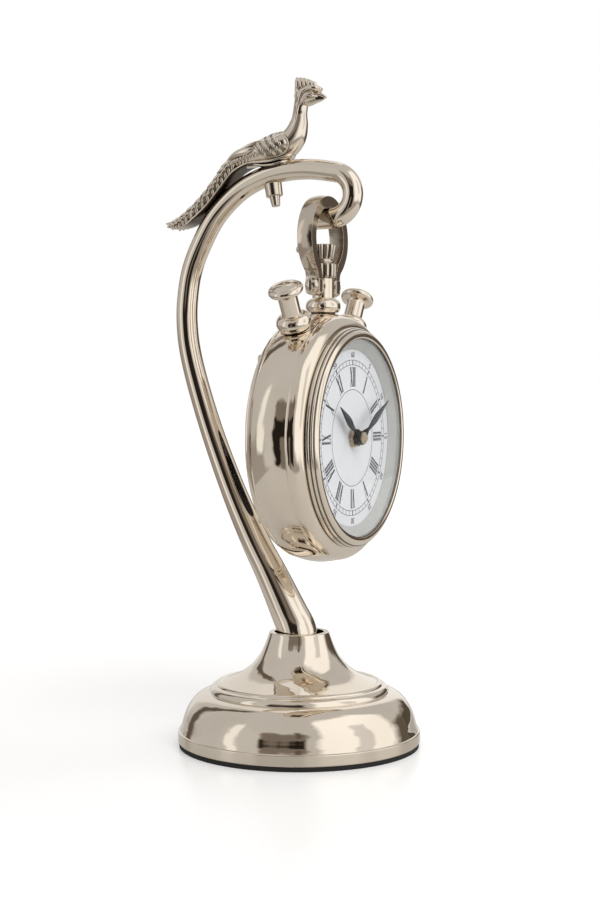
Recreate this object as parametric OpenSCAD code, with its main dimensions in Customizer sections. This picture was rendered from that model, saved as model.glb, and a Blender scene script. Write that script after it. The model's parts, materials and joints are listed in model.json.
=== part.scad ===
// Table clock that hangs as a large pocket watch from a shepherd's crook stand.
// Millimetres. The centre of the base's underside is the origin, +Z is up and the dial faces -Y.
// The crook lies in the plane X = 0: it leaves the base, bows out to the back and hooks forward.

/* [Stand] */
// Diameter of the round base
base_d = 140; // [130:1:150]
// Height of the base up to the top of its collar
base_h = 65.6; // [62:0.2:70]
// Thickness of the soft pad under the base
pad_h = 2.6; // [1.5:0.1:4]
// Wall of the hollow base casting
base_wall = 3; // [2.4:0.1:4]
// Diameter of the socket that takes the foot of the crook
socket_d = 28.6; // [28:0.1:30]
// Diameter of the hook's round bar
hook_d = 11.7; // [11:0.1:12]
// Radius of the hook's front bend, to the centre of the bar
hook_bend = 13.2; // [12.8:0.1:13.6]

/* [Clock] */
// Height of the dial centre above the table
dial_z = 178; // [176:0.5:180]
// Distance from the base's axis to the clock's middle plane
clock_y = -15.2; // [-16:0.1:-14.5]
// Largest diameter of the barrel-shaped case
case_d = 141.8; // [138:0.2:144]
// Wall of the case
case_wall = 2.4; // [2:0.1:3]
// Outer diameter of the bezel
bezel_d = 124.8; // [122:0.2:125]
// Diameter of the visible dial
dial_open_d = 100; // [96:1:102]
// Thickness of the dial plate
dial_t = 1.2; // [0.8:0.1:1.6]
// Thickness of the domed glass
glass_t = 1.4; // [1.2:0.1:2]
// Diameter of the round opening in the back cover
back_open_d = 60; // [58:1:64]

/* [Hands] */
// Length of the minute hand from the centre
minute_len = 42; // [36:0.5:43]
// Length of the hour hand from the centre
hour_len = 31; // [24:0.5:33]
// Time that the hands show, hours
show_hour = 10; // [0:1:11]
// Time that the hands show, minutes
show_minute = 10; // [0:1:59]

/* [Neck] */
// Diameter of the neck stem
stem_d = 12.5; // [12:0.1:13]
// Outer diameter of the bow
bow_d = 49; // [46:0.5:50]
// Thickness of the bow's strap
bow_t = 6.95; // [6.5:0.05:7.2]
// Width of the bow's strap
bow_w = 9.2; // [8.5:0.1:10]
// Height of the bow's pivot above the table
pivot_z = 264; // [263.5:0.1:264.5]
// Angle of each pusher from the neck
pusher_angle = 30; // [28:0.5:32]
// Travel of a pusher when it is pressed
pusher_travel = 2; // [1:0.1:2.2]

/* [Hidden] */
$fn = 72;

nickel = [0.80, 0.76, 0.70];
dark_nickel = [0.66, 0.62, 0.56];
brass = [0.74, 0.62, 0.38];
black = [0.08, 0.08, 0.08];
white = [0.95, 0.95, 0.96];
steel = [0.62, 0.63, 0.65];
play = 0.05;     // running fit on a radius
gap = 0.3;       // free space between bodies that move past each other

// Points on the arc from p to q that bulges by s to the left of the way from p to q.
function bulge(p, q, s, n = 8) =
  let (d = q - p, c = norm(d), m = (p + q) / 2, u = [-d[1], d[0]] / c,
       r = c * c / 8 / abs(s) + abs(s) / 2, k = sign(s),
       o = m - u * k * (r - abs(s)), a = asin(c / 2 / r))
  [for (i = [0 : n]) let (t = a * (2 * i / n - 1)) o + r * (u * k * cos(t) + d / c * sin(t))];

// One point of a smooth curve through a, b, c, d at the share t of the way from b to c.
function between(a, b, c, d, t) =
  0.5 * (2 * b + (c - a) * t + (2 * a - 5 * b + 4 * c - d) * t * t + (3 * b - a - 3 * c + d) * t * t * t);

// A smooth curve through all of P, with n steps from each point to the next.
function smooth(P, n) =
  let (m = len(P) - 1)
  concat([for (i = [0 : m - 1], k = [0 : n - 1])
            between(P[max(i - 1, 0)], P[i], P[i + 1], P[min(i + 2, m)], k / n)],
         [P[m]]);

// Direction of the list of points P at point i.
function heading(P, i) =
  let (d = P[min(i + 1, len(P) - 1)] - P[max(i - 1, 0)]) d / norm(d);

// A closed solid through rings that all have the same number of points.
module loft(rings) {
  n = len(rings[0]);
  m = len(rings);
  polyhedron(
    points = [for (r = rings, p = r) p],
    faces = concat(
      [[for (k = [n - 1 : -1 : 0]) k]],
      [for (j = [0 : m - 2], k = [0 : n - 1]) let (a = j * n + k, b = j * n + (k + 1) % n) [a, b, b + n]],
      [for (j = [0 : m - 2], k = [0 : n - 1]) let (a = j * n + k, b = j * n + (k + 1) % n) [a, b + n, a + n]],
      [[for (k = [0 : n - 1]) (m - 1) * n + k]]));
}

// Rings along a path in the plane X = x: each station is [y, z, half height, half width].
function ribs(P, sides, x = 0) =
  [for (i = [0 : len(P) - 1])
     let (yz = [for (q = P) [q[0], q[1]]], h = heading(yz, i))
     [for (k = [0 : sides - 1])
        let (a = -360 * k / sides)
        [x + P[i][3] * sin(a), P[i][0] - h[1] * P[i][2] * cos(a), P[i][1] + h[0] * P[i][2] * cos(a)]]];

// Puts what is drawn around +Z on the clock's axis, with +Z towards the viewer and +Y up.
module on_dial() translate([0, 0, dial_z]) rotate([90, 0, 0]) children();

// Puts what is drawn around +Z on a line from the dial centre, in the clock's middle plane.
module on_rim(angle) translate([0, clock_y, dial_z]) rotate([0, angle, 0]) children();

base_r = base_d / 2;
rim_top = 9.9;
dome_c = [base_r - 31.4, rim_top];   // centre of the dome's round shoulder
dome_r = 30.6;
step_r = [52, 47.6, 44];             // edges of the two rings between the dome and the bell
collar_r = 17.6;
web_z = [44, 50];                    // the floor of the socket
stud_hole_r = 5.25;

function dome_arc(r, a0, a1, n) =
  [for (i = [0 : n]) let (a = a0 + (a1 - a0) * i / n) dome_c + r * [cos(a), sin(a)]];

module base_pad() color(black)
  cylinder(h = pad_h, r = base_r - 0.6);

module base_dome() color(nickel)
  difference() {
    rotate_extrude()
      polygon(concat(
        [[0, web_z[0]], [27, web_z[0]], [38, 39.4], [48, 35.6]],
        dome_arc(dome_r - base_wall, 68, 0, 8),
        [[dome_c[0] + dome_r - base_wall, pad_h], [base_r - 0.4, pad_h], [base_r, pad_h + 0.5],
         [base_r, rim_top - 1.1], [base_r - 0.5, rim_top - 0.7], [base_r - 1, rim_top - 0.6]],
        dome_arc(dome_r, 0, 63, 12),
        bulge([step_r[0], 38.2], [step_r[1], 40.1], -0.7, 4),
        bulge([step_r[1] - 0.3, 40.9], [step_r[2] + 0.4, 41.8], -0.5, 4),
        bulge([step_r[2] - 0.4, 41.5], [collar_r, base_h - 1.2], 4, 14),
        [[collar_r - 0.2, base_h - 0.3], [collar_r - 0.6, base_h], [0, base_h]]));
    translate([0, 0, web_z[1]]) cylinder(h = base_h, d = socket_d);
    translate([0, 0, web_z[0] - 1]) cylinder(h = 10, r = stud_hole_r);
  }

module base_weight() color(steel)
  translate([0, 0, pad_h])
    difference() {
      cylinder(h = 12, r = 50);
      translate([0, 0, -1]) cylinder(h = 14, r = 17);
    }

module foot_washer() color(steel)
  translate([0, 0, web_z[0] - 2])
    difference() {
      cylinder(h = 2, r = 12);
      translate([0, 0, -1]) cylinder(h = 4, r = stud_hole_r);
    }

module foot_nut() color(steel)
  translate([0, 0, web_z[0] - 10])
    difference() {
      cylinder(h = 8, d = 19.6, $fn = 6);
      translate([0, 0, -1]) cylinder(h = 10, r = 5);
    }

// The crook's centre line up to its arch, as [y, z, diameter].
crook_path = [
  [0, 50, 22.4], [0.3, 58, 22.8], [1.8, 67, 22.8], [6.8, 76.9, 21.4], [17.8, 97.8, 18.8],
  [29.9, 119, 16.8], [44.7, 149.1, 14.8], [60.1, 187.3, 13.5], [71.3, 222.9, 13],
  [74.6, 245.6, 12.8], [73.5, 264.6, 12.6], [69.9, 279.5, 12.5], [62.9, 294.2, 12.4],
  [54.6, 307, 12.3], [44.3, 316.9, 12.1], [33.6, 323.9, 12], [20, 329, 11.9],
  [7, 331.1, 11.8], [-8, 331, hook_d]
];
hook_c = [-20.6, 315.6];   // centre of the hook's front bend
hook_start = 10;           // angle past the top where the round bend begins
hook_flat = 9.8;           // straight length that the bow rests on
hook_tip_bend = 8;
hook_tip_angle = 26;
crook_sides = 24;
crook_steps = 3;           // stations from one point of the path to the next

// A point of the bar's centre line, a degrees round the bend about c, in [y, z, diameter].
function on_bend(c, bend, a) = [c[0] - bend * sin(a), c[1] + bend * cos(a), hook_d];

tip_c = hook_c + [hook_flat, hook_tip_bend - hook_bend];
tip_end = on_bend(tip_c, hook_tip_bend, 180 + hook_tip_angle);
crook_line = concat(
  smooth(concat(crook_path, [on_bend(hook_c, hook_bend, hook_start)]), crook_steps),
  [for (a = [hook_start + 10 : 10 : 180]) on_bend(hook_c, hook_bend, a)],
  [for (i = [0 : 4]) on_bend(tip_c, hook_tip_bend, 180 + hook_tip_angle * i / 4)],
  [for (a = [30, 58, 80])
     tip_end + [hook_d / 2 * sin(a) * cos(hook_tip_angle), hook_d / 2 * sin(a) * sin(hook_tip_angle),
                hook_d * (cos(a) - 1)]]);

// The round bar along a stretch of the crook's line, with grow added to its radius.
module crook_bar(line = crook_line, grow = 0) {
  yz = [for (q = line) [q[0], q[1]]];
  loft([for (i = [0 : len(line) - 1])
    let (h = i == 0 && line[0][1] < base_h ? [0, 1] : heading(yz, i), r = line[i][2] / 2 + grow)
    [for (k = [0 : crook_sides - 1])
      let (a = -360 * k / crook_sides)
      [r * sin(a), yz[i][0] - h[1] * r * cos(a), yz[i][1] + h[0] * r * cos(a)]]]);
}

bird_y = 17.8;             // the bird's stud goes through the arch here
arch_z = 329.4;            // height of the bar's centre there
arch_tilt = 9;             // slope of the bar there
nut_seat = 5.2;            // flat seat of the stud's nut, below the bar's centre
nut_h = 7.6;
stud_r = 3;

// Puts what is drawn around +Z square across the arch, with the bar's centre at 0.
module on_arch() translate([0, bird_y, arch_z]) rotate([-arch_tilt, 0, 0]) children();

module crook() color(nickel)
  difference() {
    union() {
      crook_bar();
      translate([0, 0, 29]) cylinder(h = 22, r = 5);
    }
    on_arch() {
      translate([0, 0, -20]) cylinder(h = 40, r = stud_r + 0.1);
      translate([0, 0, -nut_seat - 12]) cylinder(h = 12, r = 5.4);
    }
  }

body_line = [
  [47, 336.6, 2.2, 3.4], [41, 337.6, 3.8, 6], [34, 339, 5.2, 8], [24, 342, 7.1, 9.6], [13.5, 343.8, 7.3, 10],
  [7, 346.2, 7.3, 9.2], [2.6, 350.8, 6.8, 7.2], [0.2, 357, 5.4, 5.4], [-0.6, 363, 4.2, 4.2], [-1.4, 369, 4.1, 4]
];
head_line = [
  [2.6, 374.2, 0.6, 0.6], [1.6, 373.9, 2.8, 2.6], [-1.4, 373.2, 4.7, 4.1], [-4.6, 372.7, 5.3, 4.6],
  [-7.6, 372.3, 4.8, 4.3], [-10, 371.9, 3.9, 3.4], [-12, 371.8, 2.7, 2.3], [-14, 371.9, 1.7, 1.5],
  [-15.8, 371.6, 1.1, 1], [-17, 370.8, 0.3, 0.3]
];
tail_line = [
  [36, 339.5, 3.6, 5.4], [43, 334.5, 4.4, 6.4], [50.5, 326, 4.3, 6.8], [60.5, 315.5, 4.2, 7], [71.5, 306.9, 4, 6.6],
  [79, 303.2, 3, 5], [84.5, 302.2, 1.8, 3], [88.5, 302.2, 0.4, 0.6]
];
wing_line = [
  [3.6, 346.6, 1.2, 0.6], [6, 346.4, 4.4, 1.7], [12, 345.2, 6.2, 2.3], [20, 343.8, 6.4, 2.4],
  [28, 342.6, 5.2, 2.2], [36, 341, 3.6, 1.8], [43, 339.2, 2, 1.3], [49, 337.4, 0.5, 0.5]
];
crest_tips = [[1, 383], [-1.6, 383.4], [-4.3, 382.8], [-7, 381.8], [-9.6, 380]];

// One flat leaf from root to tip, both [y, z], in the plane X = x.
module plume(root, tip, x, wide, thick)
  loft(ribs([for (s = [[0, 0.5], [0.35, 0.8], [0.7, 1], [0.9, 0.7], [1, 0.15]])
               [root[0] + (tip[0] - root[0]) * s[0], root[1] + (tip[1] - root[1]) * s[0],
                wide * s[1], thick * (0.5 + s[1] / 2)]], 8, x));

module bird_form() {
  loft(ribs(smooth(body_line, 3), 20));
  loft(ribs(smooth(head_line, 3), 16));
  loft(ribs(smooth(tail_line, 3), 12));
  for (side = [-1, 1])
    loft(ribs(smooth(wing_line, 2), 12, side * 8));
  for (i = [0 : len(crest_tips) - 1])
    plume([-3.4 - 0.7 * i, 376.2 - 0.2 * i], crest_tips[i], 0, 1.5, 1.3);
}

arch_line = [for (i = [0 : crook_steps * len(crook_path)]) if (crook_line[i][1] > 290) crook_line[i]];

module peacock() color(nickel)
  difference() {
    bird_form();
    crook_bar(arch_line, 0.05);
    on_arch() translate([0, 0, -4.4]) cylinder(h = 17, r = stud_r);
  }

module peacock_stud() color(steel)
  on_arch() {
    translate([0, 0, -nut_seat - nut_h]) cylinder(h = nut_seat + nut_h + 12.6, r = stud_r);
    translate([0, 0, -nut_seat - nut_h - 5.8]) cylinder(h = 5.8, r1 = 2.4, r2 = 3.2);
  }

module peacock_nut() color(nickel)
  on_arch() translate([0, 0, -nut_seat - nut_h])
    difference() {
      cylinder(h = nut_h, r1 = 4.9, r2 = 5.2);
      translate([0, 0, -1]) cylinder(h = 10, r = stud_r);
    }

bow_r = bow_d / 2;
bow_in_r = bow_r - bow_t;
hook_top = hook_c[1] - hook_bend + hook_d / 2;
bow_z = hook_top + gap - bow_in_r;        // centre of the bow's ring
bow_open = 48;                            // the ring ends this far below its centre's level
leg_in = 8.3;
leg_out = 14.2;
eye_r = 5.6;
screw_r = 2.5;
head_r = 4.2;              // screw heads on the legs

leg_w = 8.2;               // width of each leg at its foot
taper_z = [272, 285];      // the strap narrows towards its feet between these heights
taper = (bow_w - leg_w) / 2 / (taper_z[1] - taper_z[0]);

module bow() color(nickel)
  translate([0, clock_y, 0]) {
    difference() {
      union() {
        translate([0, 0, bow_z]) rotate([90, 0, 0]) rotate([0, 0, -bow_open])
          rotate_extrude(angle = 180 + 2 * bow_open)
            polygon(concat(
              bulge([bow_in_r + 0.5, -bow_w / 2], [bow_in_r + 0.5, bow_w / 2], 0.5, 6),
              bulge([bow_r - 0.5, bow_w / 2], [bow_r - 0.5, -bow_w / 2], 0.5, 8)));
        for (side = [0, 1]) mirror([side, 0, 0]) {
          rotate([90, 0, 0]) linear_extrude(bow_w, center = true)
            polygon([
              [bow_in_r * cos(bow_open), bow_z - bow_in_r * sin(bow_open)],
              [(bow_r - 0.5) * cos(bow_open), bow_z - (bow_r - 0.5) * sin(bow_open)],
              [leg_out + 0.6, pivot_z + 7.8], [leg_out, pivot_z + 6.2], [leg_out, pivot_z],
              [leg_in, pivot_z], [leg_in, pivot_z + 2.6], [leg_in + 0.6, pivot_z + 6.6]]);
          translate([leg_in, 0, pivot_z]) rotate([0, 90, 0]) cylinder(h = leg_out - leg_in, r = eye_r);
        }
      }
      for (end = [0, 1]) mirror([0, end, 0])
        rotate([90, 0, 90]) linear_extrude(60, center = true)
          polygon([[eye_r + 1, taper_z[1] + (eye_r + 1 - bow_w / 2) / taper], [leg_w / 2, taper_z[0]],
                   [leg_w / 2, pivot_z - 8], [eye_r + 1, pivot_z - 8]]);
      translate([-30, 0, pivot_z]) rotate([0, 90, 0]) cylinder(h = 60, r = screw_r + play);
    }
    for (side = [0, 1]) mirror([side, 0, 0])
      translate([bow_r - 3.6, bow_w / 2 - 0.3, pivot_z + 19.6]) sphere(r = 2.2, $fn = 24);
  }

// The two shoulder screws are fixed in the stem, and the bow turns on their shanks.
module bow_screws() color(dark_nickel)
  for (side = [0, 1]) mirror([side, 0, 0])
    translate([0, clock_y, pivot_z]) rotate([0, 90, 0])
      difference() {
        rotate_extrude()
          polygon(concat(
            [[0, 4.2], [2, 4.2], [2, 7.8], [screw_r, 7.8], [screw_r, leg_out + 0.2], [head_r, leg_out + 0.2]],
            bulge([head_r, leg_out + 0.8], [0, leg_out + 3], -0.5, 6)));
        translate([-0.6, -6, leg_out + 2]) cube([1.2, 12, 3]);
      }

stem_r = stem_d / 2;
case_r = case_d / 2;
stem_top = 268.5;          // underside of the crown
bead_h = 8.3;              // height of each bead collar
bead_foot = case_r + 0.3;  // distance from the dial centre to the underside of a bead
core_r = 7;                // tube that joins a bead to its ferrule, inside the gap line

// A bead collar with its ferrule, drawn around +Z with the dial centre at 0.
function bead(r_in, r_bead) = concat(
  [[r_in, bead_foot], [r_bead - 1.4, bead_foot]],
  bulge([r_bead - 1.3, bead_foot + 0.1], [r_bead - 3.3, bead_foot + bead_h - 0.2], -2.3, 10),
  [[r_bead - 3.5, bead_foot + bead_h], [r_in, bead_foot + bead_h]]);

module ferrule(r_in, r_out)
  rotate_extrude()
    polygon([[r_in, case_r - 7], [core_r, case_r - 7], [core_r, case_r - 2.6], [r_out, case_r - 1.6],
             [r_out, case_r - 0.8], [r_out - 0.4, case_r - 0.5], [r_in, case_r - 0.5]]);

module neck_stem() color(nickel) {
  difference() {
    union() {
      on_rim(0) {
        rotate_extrude() polygon(bead(0, 10));
        ferrule(0, 8.6);
        cylinder(h = stem_top - dial_z, r = stem_r);
        cylinder(h = bead_foot + 1, r = core_r);
      }
      translate([-7.8, clock_y, pivot_z]) rotate([0, 90, 0]) cylinder(h = 15.6, r = 4.2);
      translate([0, clock_y, stem_top]) cylinder(h = 14, r = 3);
    }
    translate([0, clock_y, 0]) cylinder(h = dial_z + case_r - 12, r = 12);
    for (side = [0, 1]) mirror([side, 0, 0])
      translate([4.2, clock_y, pivot_z]) rotate([0, 90, 0]) cylinder(h = 10, r = 2);
  }
}

flutes = 12;

// One fluted drum from z0 to z1 with its radius going from r0 to r1.
module fluted(z0, z1, r0, r1)
  difference() {
    rotate_extrude()
      polygon([[0, z0], [r0 - 0.5, z0], [r0, z0 + 0.5], [r1, z1 - 1], [r1 - 0.9, z1], [0, z1]]);
    for (i = [0 : flutes - 1])
      rotate([0, 0, 360 / flutes * (i + 0.5)])
        translate([r0 + 0.55, 0, z0 - 1]) rotate([0, atan((r1 - r0) / (z1 - z0)), 0])
          cylinder(h = z1 - z0 + 3, r = 1.25, $fn = 24);
  }

module crown() color(dark_nickel)
  translate([0, clock_y, 0])
    difference() {
      union() {
        fluted(stem_top + 0.1, 277, 7.4, 7.8);
        fluted(279.2, 287.8, 5.9, 7.7);
        translate([0, 0, 276.5]) cylinder(h = 3, r = 5.2);
        translate([0, 0, 277.6]) cylinder(h = 0.9, r = 6.1);
      }
      translate([0, 0, stem_top - 1]) cylinder(h = 15.2, r = 3 + play);
    }

push_r = 5.5;
push_head = 92;            // distance from the dial centre to the underside of the head
push_foot = 66.6;          // and to the inner end of its stem
spring_seat = 58.4;        // floor of the collar, under the spring

module pusher_collar(angle) color(nickel)
  on_rim(angle)
    difference() {
      union() {
        rotate_extrude() polygon(bead(push_r + play, 9.8));
        ferrule(push_r + play, 8.6);
        translate([0, 0, spring_seat - 1.4]) cylinder(h = bead_foot + 1 - spring_seat + 1.4, r = core_r);
      }
      translate([0, 0, spring_seat]) cylinder(h = 40, r = push_r + play);
    }

module pusher(angle) color(nickel)
  on_rim(angle)
    rotate_extrude()
      polygon(concat(
        [[0, push_foot], [push_r, push_foot], [push_r, push_head - 1.2], [push_r + 0.9, push_head - 0.3],
         [9, push_head]],
        bulge([9.2, push_head + 0.1], [9.7, push_head + 3.2], -0.8, 5),
        bulge([8.9, push_head + 3.6], [0, push_head + 5.8], -1, 8)));

spring_turns = 5;
spring_wire = 0.9;

// A coil spring at its pressed length, standing on the collar's floor.
module pusher_spring(angle) color(steel)
  on_rim(angle) {
    coil_r = push_r - 1.1;
    rise = push_foot - pusher_travel - 0.3 - spring_seat - spring_wire;
    steps = 14;
    loft([for (i = [0 : spring_turns * steps])
      let (a = 360 * i / steps, z = spring_seat + spring_wire / 2 + rise * i / steps / spring_turns)
      [for (k = [0 : 5])
        let (b = -60 * k, r = coil_r + spring_wire / 2 * cos(b))
        [r * cos(a), r * sin(a), z + spring_wire / 2 * sin(b)]]]);
  }

// Radii from the clock's axis, and distances forward of the base's axis.
case_back = 5.4;           // where the shell meets the back cover
case_front = 34.2;         // where the shell meets the bezel
dial_face = 33.4;
seat = dial_face - dial_t; // the ledge that carries the dial
ledge_r = 53;
bore_r = case_r - 1.9 - case_wall;
bezel_r = bezel_d / 2;
skirt_r = bezel_r - 2;
glass_r = bezel_r - 5.2;
lip_r = bezel_r - 6.6;     // clear opening of the bezel
glass_top = 44.8;          // the middle of the dome
lug_r = 62;                // circle of the back cover's screws
lug_count = 4;

module case_shell() color(nickel)
  difference() {
    union() {
      on_dial() rotate_extrude()
        polygon(concat(
          [[bore_r, case_back], [case_r - 2, case_back]],
          bulge([case_r - 1.7, case_back + 0.3], [case_r - 1.5, 26], -1.7, 10),
          bulge([case_r - 1.5, 26.1], [bezel_r + 0.3, case_front], -2, 8),
          [[skirt_r, case_front], [skirt_r, seat], [ledge_r, seat], [ledge_r, seat - 2],
           [case_r - 9, seat - 2], [bore_r, 26]]));
      for (i = [0 : lug_count - 1])
        on_dial() rotate([0, 0, 45 + 90 * i]) translate([lug_r, 0, case_back]) cylinder(h = 12, r = 5.4);
    }
    for (angle = [0, pusher_angle, -pusher_angle])
      on_rim(angle) rotate_extrude()
        polygon([[0, case_r - 20], [core_r, case_r - 20], [core_r, case_r - 2.6], [8.6, case_r - 1.6],
                 [8.6, case_r + 3], [0, case_r + 3]]);
    for (i = [0 : lug_count - 1])
      on_dial() rotate([0, 0, 45 + 90 * i]) translate([lug_r, 0, case_back - 1]) cylinder(h = 9, r = 1.5);
  }

back_t = 1.8;
back_r = case_r - 1.7;
rib_r = [35, 59];          // a heavy ring inside the cover brings the clock's weight under its bow
rib_top = 5;

module back_cover() color(nickel)
  difference() {
    on_dial() rotate_extrude()
      polygon(concat(
        [[back_r - 4.6, case_back + 2], [back_r - 4.6, 3.2], [back_r - 5.4, 2], [rib_r[1], 0.3],
         [rib_r[1], rib_top], [rib_r[0], rib_top], [rib_r[0], -5.2], [back_open_d / 2, -5.6],
         [back_open_d / 2, -7.4], [back_open_d / 2 + 2, -7.6]],
        bulge([back_open_d / 2 + 2.4, -7.6], [back_r - 3, 0.2], 1.6, 12),
        bulge([back_r - 2.6, 0.5], [back_r, case_back - 0.7], 0.8, 5),
        [[back_r - 0.3, case_back - 0.2], [back_r - 0.3, case_back], [back_r - 2.8, case_back],
         [back_r - 2.8, case_back + 2]]));
    for (i = [0 : lug_count - 1])
      on_dial() rotate([0, 0, 45 + 90 * i]) {
        translate([lug_r, 0, -10]) cylinder(h = 20, r = 1.6);
        translate([lug_r, 0, -10]) cylinder(h = 9.4, r = 3.2);
        translate([lug_r, 0, 1.2]) cylinder(h = 10, r = 7.4);
      }
  }

module back_screws() color(steel)
  for (i = [0 : lug_count - 1])
    on_dial() rotate([0, 0, 45 + 90 * i]) translate([lug_r, 0, 0])
      difference() {
        union() {
          translate([0, 0, -2.2]) cylinder(h = 1.6, r = 2.8);
          translate([0, 0, -0.8]) cylinder(h = 13, r = 1.5);
        }
        translate([-0.4, -4, -3]) cube([0.8, 8, 1.4]);
      }

module bezel() color(nickel)
  on_dial() rotate_extrude()
    polygon(concat(
      [[glass_r, seat], [skirt_r, seat], [skirt_r, case_front], [bezel_r, case_front]],
      bulge([bezel_r, 34.6], [bezel_r - 0.2, 36.2], -0.2, 3),
      [[bezel_r - 0.9, 36.6], [bezel_r - 0.9, 36.9]],
      bulge([bezel_r - 0.7, 37.2], [bezel_r - 1.2, 38.6], -0.3, 3),
      [[bezel_r - 1.7, 38.8], [bezel_r - 1.7, 39]],
      bulge([bezel_r - 1.7, 39.1], [lip_r + 0.2, 40.2], -1.1, 8),
      [[lip_r, 40], [lip_r, 39.8], [glass_r, 39.8]]));

module glass() color([0.85, 0.9, 0.92, 0.3])
  on_dial() rotate_extrude()
    polygon(concat(
      bulge([0, glass_top - glass_t], [lip_r - 1, 38.2], 1.25, 10),
      [[glass_r - 0.05, 38.2], [glass_r - 0.05, 39.8], [lip_r - 0.1, 39.8]],
      bulge([lip_r - 0.6, 39.9], [0, glass_top], -1.2, 10)));

module dial_ring() color(white)
  on_dial() rotate_extrude()
    polygon([[dial_open_d / 2, dial_face], [glass_r - 0.05, dial_face], [glass_r - 0.05, 38.2], [lip_r - 0.6, 38.2],
             [dial_open_d / 2 + 0.2, dial_face + 0.5]]);

module dial() color(white)
  on_dial() translate([0, 0, seat])
    difference() {
      cylinder(h = dial_t, r = glass_r - 0.05);
      translate([0, 0, -1]) cylinder(h = 4, r = 4.05);
    }

box_w = 56;                // standard square quartz movement
box_t = 15;
box_wall = 1.4;
box_front = seat;
box_back = box_front - box_t;
bush_r = 4;
gear_c = 9.6;              // distance from the hands' axis to the minute wheel's axis
battery_y = -18.6;         // centre of the battery below the hands' axis
battery_d = 14.2;
battery_len = 50.2;

// An involute gear outline: teeth z, module m, backlash b.
function gear(z, m, b = 0.06) =
  let (rp = z * m / 2, rb = rp * cos(20), ra = rp + 0.9 * m, rf = rp - 1.15 * m,
       half = 90 / z - b / rp * 28.65 + (tan(20) * 57.296 - 20),
       flank = [for (t = [0 : 3]) let (r = max(rb, rf) + (ra - max(rb, rf)) * t / 3,
                  al = acos(min(1, rb / r)), w = half - (tan(al) * 57.296 - al)) [r, w]])
  [for (i = [0 : z - 1]) let (c = 360 * i / z)
     each concat([[rf, c - 180 / z * 0.62]], [for (f = flank) [f[0], c - f[1]]],
                 [for (k = [3 : -1 : 0]) [flank[k][0], c + flank[k][1]]], [[rf, c + 180 / z * 0.62]])];

module spur(z, m, h, turn = 0)
  linear_extrude(h)
    polygon([for (p = gear(z, m)) p[0] * [cos(p[1] + turn), sin(p[1] + turn)]]);

module movement_housing() color(black)
  on_dial() translate([0, 0, box_back])
    difference() {
      union() {
        translate([-box_w / 2, -box_w / 2, box_wall]) cube([box_w, box_w, box_t - box_wall]);
        cylinder(h = box_t + 3.6, r = bush_r);
      }
      difference() {
        translate([-box_w / 2 + box_wall, -box_w / 2 + box_wall, -1])
          cube([box_w - 2 * box_wall, box_w - 2 * box_wall, box_t - box_wall + 1]);
        translate([-box_w / 2, battery_y + battery_d / 2 + 0.4, -1]) cube([box_w, 1.2, box_t]);
      }
      translate([0, 0, -1]) cylinder(h = box_t + 8, r = tube_r + 0.08);
      translate([0, gear_c, box_t - box_wall - 1]) cylinder(h = 1.8, r = arbor_r + play);
    }

module movement_cover() color(black)
  on_dial() translate([0, 0, box_back])
    difference() {
      translate([-box_w / 2, -box_w / 2, 0]) cube([box_w, box_w, box_wall]);
      translate([0, gear_c, -1]) cylinder(h = 4, r = arbor_r + play);
      translate([0, 0, 0.4]) cylinder(h = 4, r = arbor_r + play);
      translate([-battery_len / 2 - 0.6, battery_y - battery_d / 2 - 0.6, -1])
        cube([battery_len + 1.2, battery_d + 0.6, 4]);
    }

module battery() color([0.25, 0.27, 0.3])
  on_dial() translate([-battery_len / 2, battery_y, box_back + 6.4]) rotate([0, 90, 0]) {
    cylinder(h = battery_len - 1.4, r = battery_d / 2);
    cylinder(h = battery_len, r = 2.6);
  }

module battery_contacts() color(brass)
  on_dial() for (side = [-1, 1])
    mirror([side < 0 ? 1 : 0, 0, 0]) translate([battery_len / 2, battery_y - 4.5, box_back + 2.2])
      cube([box_w / 2 - box_wall - battery_len / 2, 9, 9]);

module drive_coil() color(brass)
  on_dial() translate([-20, 22, box_back + 7.4]) rotate([0, 90, 0])
    union() {
      cylinder(h = 16, r = 3.2);
      for (x = [0, 15]) translate([0, 0, x]) cylinder(h = 1, r = 4);
    }

module dial_nut() color(brass)
  on_dial() translate([0, 0, dial_face])
    difference() {
      cylinder(h = 2.8, d = 11.6, $fn = 6);
      translate([0, 0, -1]) cylinder(h = 6, r = bush_r);
    }

hour_turn = -(show_hour + show_minute / 60) * 30;
minute_turn = -show_minute * 6;
hour_face = dial_face + 4;
minute_face = dial_face + 5.9;
tube_r = 2.5;
arbor_r = 1.5;
hour_level = box_back + 8;      // plane of the hour wheel
minute_level = box_back + 4.6;  // plane of the cannon pinion and the minute wheel

module hour_wheel() color(brass)
  on_dial()
    difference() {
      union() {
        translate([0, 0, hour_level]) spur(40, 0.384, 1);
        translate([0, 0, hour_level]) cylinder(h = hour_face + 0.5 - hour_level, r = tube_r);
      }
      translate([0, 0, hour_level - 1]) cylinder(h = 60, r = arbor_r + play);
    }

module minute_arbor() color(brass)
  on_dial() {
    translate([0, 0, box_back + 0.5]) cylinder(h = minute_face + 2.4 - box_back - 0.5, r = arbor_r);
    translate([0, 0, minute_level]) spur(12, 0.4, 1.6);
  }

// The minute wheel, its pinion and the arbor that the setting knob turns, on one axle.
module minute_wheel() color(brass)
  on_dial() translate([0, gear_c, 0]) {
    translate([0, 0, minute_level]) spur(36, 0.4, 1.2, 5);
    translate([0, 0, minute_level]) spur(10, 0.384, 5.2);
    translate([0, 0, box_back - 2.5]) cylinder(h = box_t - box_wall + 3.1, r = arbor_r);
  }

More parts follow.
